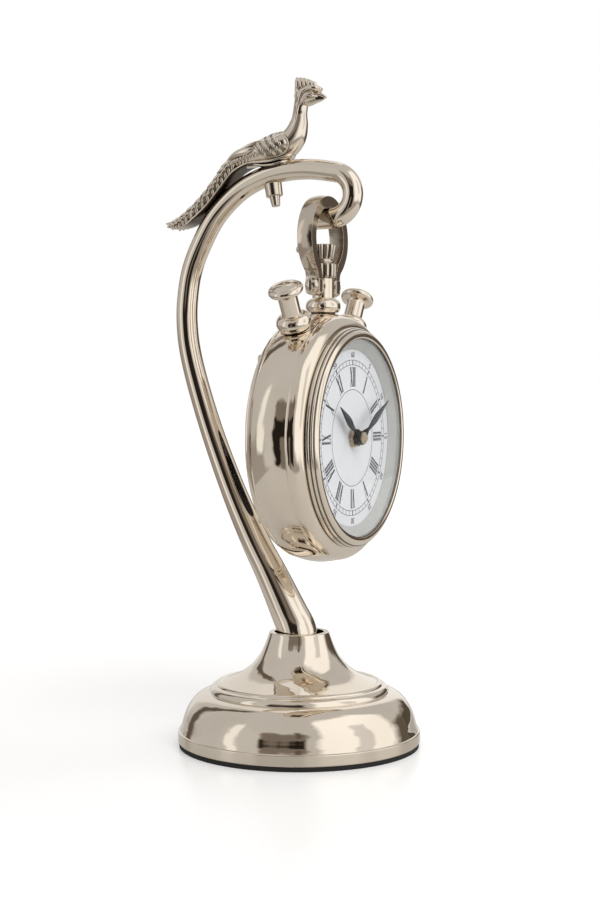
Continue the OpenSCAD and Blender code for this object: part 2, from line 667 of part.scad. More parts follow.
module setting_knob() color(black)
  on_dial() translate([0, gear_c, box_back - 6])
    difference() {
      union() {
        cylinder(h = 5.5, r = 5.6);
        for (i = [0 : 17]) rotate([0, 0, 20 * i]) translate([5.5, 0, 0]) cylinder(h = 5.5, r = 0.55, $fn = 16);
      }
      translate([0, 0, 3.5]) cylinder(h = 4, r = arbor_r);
    }

// A leaf-shaped hand that points up, with an eye of radius eye around a hole.
module hand(length, width, eye, hole, thick)
  linear_extrude(thick)
    difference() {
      union() {
        circle(r = eye);
        polygon(concat(
          [[-0.9, 0], [0.9, 0], [0.8, length * 0.16]],
          bulge([0.8, length * 0.2], [width / 2, length * 0.56], -0.3, 5),
          bulge([width / 2, length * 0.6], [0.15, length], 0.25, 6),
          bulge([-0.15, length], [-width / 2, length * 0.6], 0.25, 6),
          bulge([-width / 2, length * 0.56], [-0.8, length * 0.2], -0.3, 5),
          [[-0.8, length * 0.16]]));
      }
      circle(r = hole);
    }

module hour_hand() color(black)
  on_dial() translate([0, 0, hour_face]) rotate([0, 0, hour_turn]) hand(hour_len, 5.4, 4.4, tube_r, 0.5);

module minute_hand() color(black)
  on_dial() translate([0, 0, minute_face]) rotate([0, 0, minute_turn]) hand(minute_len, 4.6, 4, arbor_r, 0.5);

module hand_nut() color(brass)
  on_dial() translate([0, 0, minute_face + 0.5])
    difference() {
      rotate_extrude()
        polygon(concat([[0, 0], [3.4, 0], [3.4, 1.2], [2.6, 1.5]], bulge([2.4, 1.7], [0, 2.7], -0.4, 5)));
      translate([0, 0, -1]) cylinder(h = 2.9, r = arbor_r);
    }

base_pad();
base_weight();
base_dome();
foot_washer();
foot_nut();
crook();
peacock();
peacock_stud();
peacock_nut();
bow();
bow_screws();
neck_stem();
crown();
pusher_collar(-pusher_angle);  // pusher_collar_left
pusher_collar(pusher_angle);  // pusher_collar_right
pusher(-pusher_angle);  // pusher_left
pusher(pusher_angle);  // pusher_right
pusher_spring(-pusher_angle);  // pusher_spring_left
pusher_spring(pusher_angle);  // pusher_spring_right
case_shell();
back_cover();
back_screws();
bezel();
glass();
dial_ring();
dial();
movement_housing();
movement_cover();
battery();
battery_contacts();
drive_coil();
dial_nut();
hour_wheel();
hour_hand();
minute_arbor();
minute_hand();
hand_nut();
minute_wheel();
setting_knob();
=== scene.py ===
"""Looks of a table clock: a pocket-watch clock that hangs by its bow from a crook with a perched bird.

All shapes are worked out in millimetres in the CAD model's frame and written in metres.
"""
import json
import math

import bpy
import numpy as np
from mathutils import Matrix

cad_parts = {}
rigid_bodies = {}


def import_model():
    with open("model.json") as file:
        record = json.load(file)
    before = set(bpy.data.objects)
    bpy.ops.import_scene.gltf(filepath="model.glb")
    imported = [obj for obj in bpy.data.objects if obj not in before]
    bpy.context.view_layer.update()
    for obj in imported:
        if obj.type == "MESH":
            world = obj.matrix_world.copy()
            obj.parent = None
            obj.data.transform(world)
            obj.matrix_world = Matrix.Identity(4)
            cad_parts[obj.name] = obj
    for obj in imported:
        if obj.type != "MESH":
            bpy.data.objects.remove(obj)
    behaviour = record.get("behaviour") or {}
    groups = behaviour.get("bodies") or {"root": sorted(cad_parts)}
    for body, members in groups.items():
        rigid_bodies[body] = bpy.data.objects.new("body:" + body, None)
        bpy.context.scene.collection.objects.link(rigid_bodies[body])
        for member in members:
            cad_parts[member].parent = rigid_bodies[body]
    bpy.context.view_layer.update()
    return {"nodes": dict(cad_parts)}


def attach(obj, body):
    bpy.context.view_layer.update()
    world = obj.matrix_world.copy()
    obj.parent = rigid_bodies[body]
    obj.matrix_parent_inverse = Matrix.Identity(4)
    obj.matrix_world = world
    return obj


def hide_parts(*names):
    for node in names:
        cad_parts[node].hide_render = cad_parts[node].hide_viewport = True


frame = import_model()
scene = bpy.context.scene

DIAL_Z, PIVOT_Z, CLOCK_Y = 178.0, 264.0, -15.2


# Curves and surfaces

def arc(p, q, sag, n):
    """Points of the circle through p and q whose middle lies sag to the left of the way from p to q."""
    p, q = np.array(p, float), np.array(q, float)
    d = q - p
    c = np.hypot(*d)
    side = np.array([-d[1], d[0]]) / c * np.sign(sag)
    r = c * c / 8 / abs(sag) + abs(sag) / 2
    a = np.arcsin(c / 2 / r) * np.linspace(-1, 1, n + 1)[:, None]
    return (p + q) / 2 - side * (r - abs(sag)) + r * (side * np.cos(a) + d / c * np.sin(a))


def smooth(points, n):
    """A Catmull-Rom curve through the points: n steps from each to the next, all columns alike."""
    P = np.array(points, float)
    i = np.arange(len(P) - 1)
    a, b, c, d = P[np.maximum(i - 1, 0)], P[i], P[i + 1], P[np.minimum(i + 2, len(P) - 1)]
    t = (np.arange(n) / n)[None, :, None]
    a, b, c, d = (q[:, None, :] for q in (a, b, c, d))
    curve = 0.5 * (2 * b + (c - a) * t + (2 * a - 5 * b + 4 * c - d) * t ** 2 + (3 * b - a - 3 * c + d) * t ** 3)
    return np.vstack([curve.reshape(-1, P.shape[1]), P[-1:]])


def full_turn(n):
    """The angles of n points round a circle."""
    return np.linspace(0, 2 * math.pi, n, endpoint=False)


def unit(v):
    """The rows of v brought to length 1."""
    return v / np.linalg.norm(v, axis=1)[:, None]


def softened(profile, size, closed):
    """Corners over 25 degrees become the curve (1-s)^2 a + 2s(1-s) p + s^2 b, with a point on each side of it."""
    P = np.array(profile, float)
    u, v = np.roll(P, 1, 0) - P, np.roll(P, -1, 0) - P
    lu, lv = np.linalg.norm(u, axis=1), np.linalg.norm(v, axis=1)
    turn = np.arccos(np.clip(-(u * v).sum(1) / (lu * lv + 1e-12), -1, 1))
    corner = turn > math.radians(25)
    if not closed:
        corner[[0, -1]] = False
    reach = np.minimum(size, 0.38 * np.minimum(lu, lv))[:, None]
    a, b = P + u / (lu[:, None] + 1e-12) * reach, P + v / (lv[:, None] + 1e-12) * reach
    s = np.linspace(0, 1, 4)[None, :, None]
    curve = (1 - s) ** 2 * a[:, None] + 2 * s * (1 - s) * P[:, None] + s ** 2 * b[:, None]
    wide = np.concatenate([(P + (a - P) * 1.25)[:, None], curve, (P + (b - P) * 1.25)[:, None]], 1)
    flat = np.where(corner[:, None, None], wide, P[:, None]).reshape(-1, P.shape[1])
    keep = np.linalg.norm(flat - np.roll(flat, 1, 0), axis=1) > 1e-5
    keep[0] = True
    return flat[keep]


def grid_faces(rows, cols, wrap_rows=False, wrap_cols=True):
    """The quads between neighbouring rows and columns of a grid of points."""
    i = np.arange(rows if wrap_rows else rows - 1)[:, None]
    j = np.arange(cols if wrap_cols else cols - 1)[None, :]
    k = (i + 1) % rows
    m = (j + 1) % cols
    return np.stack([i * cols + j, i * cols + m, k * cols + m, k * cols + j], -1).reshape(-1, 4)


def volume(points, quads, tris):
    """Signed volume under the faces: the sum of a . (b x c) / 6 over their triangles."""
    t = np.vstack([quads[:, [0, 1, 2]], quads[:, [0, 2, 3]], tris])
    a, b, c = points[t[:, 0]], points[t[:, 1]], points[t[:, 2]]
    return (a * np.cross(b, c)).sum() / 6


def outward(points, quads, tris):
    """The same closed surface with its faces turned so that its volume is positive."""
    if volume(points, quads, tris) < 0:
        quads, tris = quads[:, ::-1], tris[:, ::-1]
    return points, quads, tris


def skin(P):
    """Closed rings P[row, column] joined into a surface, with each end ring drawn to a pole in its middle."""
    rows, cols = P.shape[:2]
    points = np.vstack([P.reshape(-1, 3), P[0].mean(0), P[-1].mean(0)])
    j = np.arange(cols)
    m = (j + 1) % cols
    last = (rows - 1) * cols
    start = np.stack([np.full(cols, rows * cols), m, j], 1)
    end = np.stack([np.full(cols, rows * cols + 1), last + j, last + m], 1)
    return outward(points, grid_faces(rows, cols), np.vstack([start, end]))


def band(P):
    """Rings P[row, column] closed both ways, like a tyre."""
    points = P.reshape(-1, 3)
    return outward(points, grid_faces(P.shape[0], P.shape[1], True), np.zeros((0, 3), int))


def turned(profile, steps, soft=0.22):
    """A profile of [radius, height] carried round +Z: the point (r cos t, r sin t, h) for t from 0 to a full turn."""
    P = np.array(profile, float)
    solid = P[0, 0] < 1e-6 and P[-1, 0] < 1e-6
    P = softened(P, soft, not solid)
    t = full_turn(steps)
    r, h = P[:, 0][:, None], P[:, 1][:, None]
    G = np.stack([r * np.cos(t), r * np.sin(t), h + 0 * t], -1)
    if not solid:
        return band(G)
    points, quads, tris = skin(G[1:-1])
    points[-2], points[-1] = [0, 0, P[0, 1]], [0, 0, P[-1, 1]]
    return points, quads, tris


def extruded(outline, z0, z1, soft):
    """A closed outline in X and Y raised from z0 to z1, with its rims drawn in by soft."""
    P = np.array(outline, float)
    u = np.roll(P, -1, 0) - np.roll(P, 1, 0)
    n = np.stack([u[:, 1], -u[:, 0]], 1) / (np.linalg.norm(u, axis=1)[:, None] + 1e-9)
    if (P[:, 0] * np.roll(P[:, 1], -1) - np.roll(P[:, 0], -1) * P[:, 1]).sum() < 0:
        n = -n
    rim = ((0, -1), (0.3, -0.3), (1, 0))
    rows = [(z0 + rise * soft, out * soft) for rise, out in rim]
    rows += [(z1 - rise * soft, out * soft) for rise, out in rim[::-1]]
    return skin(np.stack([np.column_stack([P + n * d, np.full(len(P), z)]) for z, d in rows]))


def mirror(shape):
    """A surface mirrored in the plane X = 0."""
    p, q, t = shape
    return p * [-1, 1, 1], q[:, ::-1], t[:, ::-1]


def joined(*shapes):
    """Several surfaces as one."""
    points, quads, tris, base = [], [], [], 0
    for p, q, t in shapes:
        points.append(p)
        quads.append(q + base)
        tris.append(t + base)
        base += len(p)
    return np.vstack(points), np.vstack(quads), np.vstack(tris)


def placed(shape, place, *values):
    """A surface with its points moved by a function of place, and still facing outwards."""
    p, q, t = shape
    return outward(place(p, *values), q, t)


def on_dial(p):
    """Drawn round +Z about the dial centre: +Z goes to the viewer in front (-Y) and +Y goes up."""
    return np.stack([p[..., 0], -p[..., 2], p[..., 1] + DIAL_Z], -1)


def on_rim(p, angle):
    """Drawn round +Z from the dial centre: turned by angle towards +X in the clock's middle plane."""
    c, s = math.cos(math.radians(angle)), math.sin(math.radians(angle))
    return np.stack([p[..., 0] * c + p[..., 2] * s, p[..., 1] + CLOCK_Y, -p[..., 0] * s + p[..., 2] * c + DIAL_Z], -1)


def on_neck(p):
    """Drawn round +Z on the neck's axis, at its own height."""
    return p + [0, CLOCK_Y, 0]


def piece(name, shape, material, body, replaces=(), sharp=35):
    """Writes a surface in millimetres, with a hollow value for each point if it has them, into a mesh on a body."""
    points, quads, tris, *hollow = shape
    mesh = bpy.data.meshes.new(name)
    mesh.vertices.add(len(points))
    mesh.vertices.foreach_set("co", (points * 0.001).ravel())
    loops = np.concatenate([quads.ravel(), tris.ravel()]).astype(np.int32)
    sizes = np.concatenate([np.full(len(quads), 4), np.full(len(tris), 3)])
    mesh.loops.add(len(loops))
    mesh.loops.foreach_set("vertex_index", loops)
    mesh.polygons.add(len(sizes))
    mesh.polygons.foreach_set("loop_start", (np.cumsum(sizes) - sizes).astype(np.int32))
    mesh.update(calc_edges=True)
    mesh.validate()
    mesh.shade_smooth()
    mesh.set_sharp_from_angle(angle=math.radians(sharp))
    for values in hollow:
        mesh.attributes.new("hollow", "FLOAT", "POINT").data.foreach_set("value", np.asarray(values, np.float32))
    mesh.materials.append(material)
    thing = bpy.data.objects.new(name, mesh)
    scene.collection.objects.link(thing)
    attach(thing, body)
    if replaces:
        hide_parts(*replaces)


# Finishes

def new_group(name, inputs, outputs):
    """An empty shader group with number inputs {name: value} and outputs {name: kind}, and its two end nodes."""
    tree = bpy.data.node_groups.new(name, "ShaderNodeTree")
    for label, value in inputs.items():
        socket = tree.interface.new_socket(name=label, in_out="INPUT", socket_type="NodeSocketFloat")
        socket.default_value = value
    for label, kind in outputs.items():
        tree.interface.new_socket(name=label, in_out="OUTPUT", socket_type=kind)
    return tree, tree.nodes.new("NodeGroupInput"), tree.nodes.new("NodeGroupOutput")


def feed(tree, socket, value):
    """Links a socket to the value where that is a socket too, and sets it otherwise."""
    if isinstance(value, bpy.types.NodeSocket):
        tree.links.new(value, socket)
    else:
        socket.default_value = value


def fill(tree, thing, **inputs):
    """Feeds a node's inputs by their labels, with _ for each blank."""
    for label, value in inputs.items():
        feed(tree, thing.inputs[label.replace("_", " ")], value)
    return thing


def node(tree, kind, *values, **inputs):
    """A new node, with its first inputs fed in their order and others by their labels."""
    thing = tree.nodes.new("ShaderNode" + kind)
    for socket, value in zip(thing.inputs, values):
        feed(tree, socket, value)
    return fill(tree, thing, **inputs)


def noise(tree, scale, detail, rough=0.5, stretch=None, space="Object"):
    """A noise on Object coordinates, or on others, with its scale in waves for each metre."""
    place = node(tree, "TexCoord").outputs[space]
    if stretch:
        place = node(tree, "Mapping", Vector=place, Scale=stretch).outputs["Vector"]
    return node(tree, "TexNoise", Vector=place, Scale=scale, Detail=detail, Roughness=rough).outputs["Fac"]


def ramp(tree, value, low, high, at_low=0.0, at_high=1.0):
    """A value carried in a straight line from low..high to at_low..at_high, and held at the ends."""
    ends = {"From_Min": low, "From_Max": high, "To_Min": at_low, "To_Max": at_high}
    return node(tree, "MapRange", Value=value, **ends).outputs["Result"]


def maths(tree, how, a, b):
    """One sum on two values, each a number or a socket."""
    thing = node(tree, "Math", a, b)
    thing.operation = how
    return thing.outputs[0]


def mixed(tree, share, a, b):
    """Colour a where share is 0 and colour b where it is 1; each is a triple or a socket."""
    thing = node(tree, "Mix", share)
    thing.data_type = "RGBA"
    for i, value in ((6, a), (7, b)):
        feed(tree, thing.inputs[i], (*value, 1) if isinstance(value, tuple) else value)
    return thing.outputs[2]


def ray(tree, kind):
    """1 for one kind of light ray and 0 for the others."""
    return node(tree, "LightPath").outputs[f"Is {kind} Ray"]


def seen(tree):
    """1 for all that the camera sees, also through the glass."""
    return maths(tree, "MAXIMUM", ray(tree, "Camera"), ray(tree, "Transmission"))


def polish_group():
    """Hand-polished plating: smears and hairlines for roughness, cloudy tone, and a slow ripple with grit."""
    outputs = {"Tone": "NodeSocketFloat", "Roughness": "NodeSocketFloat", "Normal": "NodeSocketVector"}
    tree, start, end = new_group("polished_plating", {"Gloss": 0.06, "Smear": 0.05, "Ripple": 0.1}, outputs)
    smear = ramp(tree, noise(tree, 75, 5, 0.62, (1, 1, 0.4)), 0.42, 0.72)
    hair = ramp(tree, noise(tree, 900, 2, 0.5, (1, 1, 0.06)), 0.56, 0.7)
    marks = maths(tree, "ADD", smear, maths(tree, "MULTIPLY", hair, 0.35))
    rough = maths(tree, "ADD", maths(tree, "MULTIPLY", marks, start.outputs["Smear"]), start.outputs["Gloss"])
    wave = maths(tree, "ADD", noise(tree, 26, 1), maths(tree, "MULTIPLY", noise(tree, 1400, 2), 0.004))
    bump = node(tree, "Bump", Distance=0.0006, Strength=start.outputs["Ripple"], Height=wave)
    tone = ramp(tree, noise(tree, 32, 4), 0.3, 0.7)
    fill(tree, end, Tone=tone, Roughness=rough, Normal=bump.outputs["Normal"])
    return tree


def grain_group():
    """Fine grit for moulded, painted and cast surfaces: a tone, and a height for a bump."""
    outputs = {"Tone": "NodeSocketFloat", "Height": "NodeSocketFloat"}
    tree, start, end = new_group("fine_grain", {"Scale": 900.0}, outputs)
    scale = start.outputs["Scale"]
    fill(tree, end, Height=noise(tree, scale, 2), Tone=noise(tree, maths(tree, "MULTIPLY", scale, 0.12), 5))
    return tree


POLISH, GRAIN = polish_group(), grain_group()


def new_material(name, **uniform):
    """A material with one Principled shader and the same numbers all over set on its sockets."""
    material = bpy.data.materials.new(name)
    material.use_nodes = True
    tree = material.node_tree
    return material, tree, fill(tree, tree.nodes["Principled BSDF"], **uniform)


def use_group(tree, group, **values):
    """The outputs of one of the shared effects, with its own values in a material."""
    thing = node(tree, "Group")
    thing.node_tree = group
    return fill(tree, thing, **values).outputs


# Dark brown laid on by the hollow values: partly grime, partly painted shade in grooves, gaps, creases and undersides.
GRIME_AND_SHADE = (0.11, 0.085, 0.065)


def plating(name, light, deep, gloss, smear, ripple, hollows=True):
    """Warm nickel plate; with hollows, the piece's own hollow values, 0 to 1, darken and dull its deep places: grime
    together with painted shade.
    """
    material, tree, shader = new_material(name, Metallic=1.0)
    effect = use_group(tree, POLISH, Gloss=gloss, Smear=smear, Ripple=ripple)
    colour, rough = mixed(tree, effect["Tone"], deep, light), effect["Roughness"]
    if hollows:
        mark = node(tree, "Attribute")
        mark.attribute_name = "hollow"
        grime_and_shade = ramp(tree, mark.outputs["Fac"], 0.15, 0.85)
        colour = mixed(tree, grime_and_shade, colour, GRIME_AND_SHADE)
        rough = maths(tree, "ADD", rough, maths(tree, "MULTIPLY", grime_and_shade, 0.2))
    fill(tree, shader, Base_Color=colour, Roughness=rough, Normal=effect["Normal"])
    return material


def grained(name, light, deep, rough, scale, strength, **uniform):
    """Paint, moulded plastic, rubber, castings and turned metal, between two tones, with a fine grit bump."""
    material, tree, shader = new_material(name, **uniform)
    effect = use_group(tree, GRAIN, Scale=scale)
    tone = effect["Tone"]
    bump = node(tree, "Bump", Strength=strength, Distance=0.0002, Height=effect["Height"])
    fill(tree, shader, Base_Color=mixed(tree, ramp(tree, tone, 0.3, 0.7), deep, light),
         Roughness=ramp(tree, tone, 0.3, 0.7, rough - 0.04, rough + 0.05), Normal=bump.outputs["Normal"])
    return material


def clear_glass():
    """Clear domed glass with little gloss, which lets shadow rays through, so that the light reaches the dial."""
    material, tree, shader = new_material("clear_glass", Metallic=0.0, Transmission_Weight=1.0, IOR=1.12, Roughness=0.0,
                                          Specular_IOR_Level=0.12)
    tint = mixed(tree, ramp(tree, noise(tree, 60, 4), 0.4, 0.7), (0.985, 0.99, 0.985), (0.965, 0.975, 0.97))
    fill(tree, shader, Base_Color=tint)
    through = node(tree, "BsdfTransparent").outputs[0]
    blend = node(tree, "MixShader", ray(tree, "Shadow"), shader.outputs[0], through)
    fill(tree, tree.nodes["Material Output"], Surface=blend.outputs[0])
    return material


LIGHT, DEEP = (0.88, 0.79, 0.68), (0.81, 0.72, 0.605)
nickel = plating("polished_nickel", LIGHT, DEEP, 0.035, 0.05, 0.10)
bar_nickel = plating("polished_nickel_bar", LIGHT, DEEP, 0.04, 0.06, 0.07, False)
cast_nickel = plating("cast_nickel", (0.86, 0.775, 0.67), (0.77, 0.685, 0.58), 0.13, 0.08, 0.14)
# The same cast nickel made darker for the bow and the crown: painted shade for their darker reflections.
shaded_cast_nickel = plating("cast_nickel_shaded", (0.72, 0.64, 0.54), (0.62, 0.54, 0.445), 0.12, 0.08, 0.14)
trim_nickel = plating("cast_nickel_trim", (0.8, 0.72, 0.62), (0.68, 0.6, 0.5), 0.1, 0.08, 0.18, False)
steel = grained("zinc_steel", (0.62, 0.63, 0.65), (0.5, 0.51, 0.53), 0.3, 1200, 0.2, Metallic=1.0)
brass = grained("turned_brass", (0.47, 0.385, 0.28), (0.33, 0.265, 0.185), 0.3, 1500, 0.15, Metallic=1.0)
iron = grained("cast_iron", (0.16, 0.16, 0.16), (0.09, 0.09, 0.09), 0.7, 500, 0.7)
pad = grained("rubber_pad", (0.02, 0.02, 0.02), (0.012, 0.012, 0.012), 0.75, 1500, 0.5)
dial_paint = grained("dial_white", (0.75, 0.75, 0.78), (0.72, 0.72, 0.75), 0.5, 1800, 0.06)
# The dial ring is white; this mid grey on it is painted shade.
shaded_ring_paint = grained("dial_ring_white_shaded", (0.5, 0.5, 0.485), (0.465, 0.465, 0.45), 0.4, 1500, 0.06)
ink = grained("dial_ink", (0.05, 0.05, 0.06), (0.035, 0.035, 0.045), 0.55, 1800, 0.1, Specular_IOR_Level=0.2)
hand_paint = grained("hand_black", (0.02, 0.02, 0.022), (0.012, 0.012, 0.014), 0.42, 1500, 0.1, Specular_IOR_Level=0.2)
plastic = grained("moulded_black", (0.03, 0.03, 0.032), (0.02, 0.02, 0.022), 0.5, 800, 0.35)
jacket = grained("battery_jacket", (0.16, 0.18, 0.2), (0.12, 0.13, 0.15), 0.35, 600, 0.08)
glass = clear_glass()

for names, finish in (
        (("base_weight",), iron), (("base_pad",), pad),
        (("foot_washer", "foot_nut", "pusher_spring_left", "pusher_spring_right", "battery_contacts"), steel),
        (("peacock_stud", "peacock_nut", "bow_screws", "back_screws"), trim_nickel),
        (("base_dome", "neck_stem", "pusher_collar_left", "pusher_collar_right", "pusher_left", "pusher_right",
          "case_shell", "back_cover", "bezel"), nickel),
        (("drive_coil", "dial_nut", "hour_wheel", "minute_arbor", "hand_nut", "minute_wheel"), brass),
        (("crook",), bar_nickel), (("peacock", "bow", "crown"), trim_nickel), (("glass",), glass),
        (("dial",), dial_paint), (("dial_ring",), shaded_ring_paint), (("hour_hand", "minute_hand"), hand_paint),
        (("movement_housing", "movement_cover", "setting_knob"), plastic), (("battery",), jacket)):
    for name in names:
        finishes = frame["nodes"][name].data.materials
        finishes.clear()
        finishes.append(finish)

# Camera, floor and light

AZIMUTH, PITCH = math.radians(-63.53), math.radians(2.22)
SENSOR, FOCAL, LONG_SIDE = 36, 1574, 900  # millimetres, and pixels of the photograph for the other two
lens = bpy.data.cameras.new("camera")
lens.sensor_width = SENSOR
lens.lens = FOCAL * SENSOR / LONG_SIDE
lens.clip_start, lens.clip_end = 0.01, 30
camera = bpy.data.objects.new("camera", lens)
camera.location = (-0.8117, -0.4047, 0.2057)
camera.rotation_euler = (math.pi / 2 - PITCH, 0, AZIMUTH)
scene.collection.objects.link(camera)
scene.camera = camera
scene.view_settings.view_transform = "Standard"


def lamp(name, place, size, power):
    """A rectangular lamp that points at the clock and lights it without being seen or mirrored."""
    light = bpy.data.lights.new(name, "AREA")
    light.shape, light.size, light.size_y = "RECTANGLE", *size
    light.energy = power
    thing = bpy.data.objects.new(name, light)
    thing.location = place
    aim = np.array([0, 0, 0.2]) - np.array(place)
    thing.rotation_euler = (math.atan2(np.hypot(aim[0], aim[1]), -aim[2]), 0, math.atan2(-aim[0], aim[1]))
    scene.collection.objects.link(thing)
    thing.visible_camera = thing.visible_glossy = thing.visible_transmission = False


lamp("soft_key", (-0.7, -1.0, 1.3), (0.9, 0.9), 9)
lamp("soft_side", (0.9, -0.9, 0.7), (0.7, 1.1), 4)

world = bpy.data.worlds.new("studio")
scene.world = world
world.use_nodes = True

CAMERA_AXES = ((-0.895, -0.446, 0), (-0.446, 0.895, 0), (0, 0, 1))


def toward_camera(tree, vector):
    """A direction or place split into shares towards the camera's side, to its left, and up."""
    out = []
    for axis in CAMERA_AXES:
        product = node(tree, "VectorMath", vector, axis)
        product.operation = "DOT_PRODUCT"
        out.append(product.outputs["Value"])
    return out


# The room that the metal mirrors, as patches laid over each other: where each starts and ends on the way round from the
# camera's side to its left, its foot and top, all in degrees, the level of light, and the softness of the edges.
ROOM = (
    (-180, 180, -90, 2, 0.36, 8), (-180, 180, 48, 91, 0.56, 10), (42, 62, -24, 34, 0.6, 3),
    (64, 77, -12, 40, 0.98, 2.5), (84, 118, 2, 46, 0.55, 3), (-106, -20, -13, 64, 1.12, 4), (-75, -60, 4, 40, 0.75, 2),
    (-128, -112, -26, 18, 0.12, 3), (-158, -126, -30, 16, 0.09, 3), (-181, -158, -90, 80, 0.95, 3),
    (150, 181, -90, 80, 0.8, 4), (126, 138, -30, 60, 0.12, 2), (-9, 40, 15, 32, 0.2, 2), (-7, 40, -22, 18, 0.018, 1.6),
    (15, 26, -32, 2, 0.2, 1.4), (-3, 3, 24, 36, 0.12, 2),
)


def studio(tree):
    """The colour and the level of the room in each direction: the patches of ROOM, with their edges a little wavy."""
    front, left, up = toward_camera(tree, node(tree, "TexCoord").outputs["Generated"])
    shift = ramp(tree, noise(tree, 3, 3, space="Generated"), 0.25, 0.75, -5, 5)
    turn = maths(tree, "ADD", maths(tree, "MULTIPLY", maths(tree, "ARCTAN2", left, front), 180 / math.pi), shift)
    rise = maths(tree, "ADD", maths(tree, "MULTIPLY", maths(tree, "ARCSINE", up, 0), 180 / math.pi), shift)
    level = ramp(tree, rise, 0, 60, 0.58, 0.56)  # behind all the patches
    for a, b, low, high, value, edge in ROOM:
        mask = ramp(tree, turn, a - edge, a + edge)
        for side, x0, x1, y0, y1 in ((turn, b - edge, b + edge, 1, 0), (rise, low - edge, low + edge, 0, 1),
                                     (rise, high - edge, high + edge, 1, 0)):
            mask = maths(tree, "MULTIPLY", mask, ramp(tree, side, x0, x1, y0, y1))
        laid = node(tree, "Mix", mask)
        feed(tree, laid.inputs[2], level)
        feed(tree, laid.inputs[3], value)
        level = laid.outputs[0]
    warm = ramp(tree, level, 0.05, 0.5, 1, 0)
    return mixed(tree, warm, (1, 0.99, 0.975), (1, 0.80, 0.62)), level


# The world: white to the camera, also through the glass, the room in glossy metal, and a plain soft light for the rest
tree = world.node_tree
tree.nodes.clear()
room = node(tree, "Background", *studio(tree)).outputs[0]
white = node(tree, "Background", (1, 1, 1, 1), 1).outputs[0]
plain = node(tree, "Background", (1, 0.99, 0.97, 1), 0.62).outputs[0]
unseen = node(tree, "MixShader", ray(tree, "Glossy"), plain, room).outputs[0]
node(tree, "OutputWorld", node(tree, "MixShader", seen(tree), unseen, white).outputs[0])

FLOOR_R, FLOOR_SIDES = 9, 96


def pale_floor():
    """A wide round floor, white to the camera except in the clock's own shade.

    Its sheen fades and its glow grows away from the clock, and in the metal it ends at a table edge.
    """
    t = full_turn(FLOOR_SIDES)
    rim = np.stack([FLOOR_R * np.cos(t), FLOOR_R * np.sin(t), 0 * t], -1)
    mesh = bpy.data.meshes.new("floor")
    mesh.from_pydata(rim.tolist(), [], [list(range(FLOOR_SIDES))])
    floor = bpy.data.objects.new("floor", mesh)
    scene.collection.objects.link(floor)
    material, tree, shader = new_material("floor", Roughness=0.28)
    front, left, _ = toward_camera(tree, node(tree, "TexCoord").outputs["Object"])
    squares = [maths(tree, "MULTIPLY", side, side) for side in (front, left)]
    away, mirrored = maths(tree, "SQRT", maths(tree, "ADD", *squares), 0), ray(tree, "Glossy")
    pale = mixed(tree, ramp(tree, noise(tree, 3, 2), 0.3, 0.7), (0.85, 0.85, 0.85), (0.86, 0.86, 0.86))
    pale = mixed(tree, mirrored, pale, (0.66, 0.65, 0.63))
    fill(tree, shader, Base_Color=pale, Specular_IOR_Level=ramp(tree, away, 0.12, 0.5, 0.4, 0))
    strength = maths(tree, "MULTIPLY", seen(tree), ramp(tree, away, 0.2, 1, 0.26, 0.62))
    glow = node(tree, "Emission", (1, 1, 1, 1), strength)
    edge = maths(tree, "MAXIMUM", ramp(tree, left, 0.30, 0.32), ramp(tree, front, 0.36, 0.40))
    edge = maths(tree, "MAXIMUM", edge, ramp(tree, left, -0.95, -1.0))
    total = node(tree, "AddShader", shader.outputs[0], glow.outputs[0]).outputs[0]
    through = node(tree, "BsdfTransparent").outputs[0]
    blend = node(tree, "MixShader", maths(tree, "MULTIPLY", edge, mirrored), total, through)
    fill(tree, tree.nodes["Material Output"], Surface=blend.outputs[0])
    mesh.materials.append(material)


pale_floor()

# The crook

HOOK_C = np.array([-20.6, 315.6])
BEND, FLAT, TIP_BEND, TIP_TURN, BAR = 13.2, 9.8, 8.0, 26.0, 11.7
CROOK_PATH = [
    [0, 50, 22.4], [0.3, 58, 22.8], [1.8, 67, 22.8], [6.8, 76.9, 21.4], [17.8, 97.8, 18.8], [29.9, 119, 16.8],
    [44.7, 149.1, 14.8], [60.1, 187.3, 13.5], [71.3, 222.9, 13], [74.6, 245.6, 12.8], [73.5, 264.6, 12.6],
    [69.9, 279.5, 12.5], [62.9, 294.2, 12.4], [54.6, 307, 12.3], [44.3, 316.9, 12.1], [33.6, 323.9, 12],
    [20, 329, 11.9], [7, 331.1, 11.8], [-8, 331, BAR],
]


def on_bend(centre, bend, degrees):
    """Points of the bar's centre line round a bend: [y - bend sin a, z + bend cos a, bar]."""
    a = np.radians(degrees)
    return np.stack([centre[0] - bend * np.sin(a), centre[1] + bend * np.cos(a), np.full(len(a), BAR)], 1)


def crook_line(n=10):
    """The bar's centre line as [y, z, diameter]: path, round bend, flat, tip bend and rounded end."""
    tip_c = HOOK_C + [FLAT, TIP_BEND - BEND]
    body = smooth(CROOK_PATH + on_bend(HOOK_C, BEND, [10]).tolist(), n)
    bend = on_bend(HOOK_C, BEND, np.linspace(13, 180, 50))
    tip = on_bend(tip_c, TIP_BEND, np.linspace(180, 180 + TIP_TURN, 10))
    a, t = np.radians(np.linspace(8, 88, 12))[:, None], math.radians(TIP_TURN)
    reach = BAR / 2 * np.sin(a)
    end = tip[-1] + np.hstack([reach * math.cos(t), reach * math.sin(t), BAR * (np.cos(a) - 1)])
    return np.vstack([body, bend, tip, end])


def bar_along(line, sides=72):
    """A round bar in the plane X = 0: centre + r (sin a) X + r (cos a) (the normal in the plane)."""
    d = unit(np.gradient(line[:, :2], axis=0))
    a = full_turn(sides)
    r = line[:, 2:3] / 2
    out = r * np.cos(a)
    return skin(np.stack([r * np.sin(a), line[:, 0:1] - d[:, 1:2] * out, line[:, 1:2] + d[:, 0:1] * out], -1))


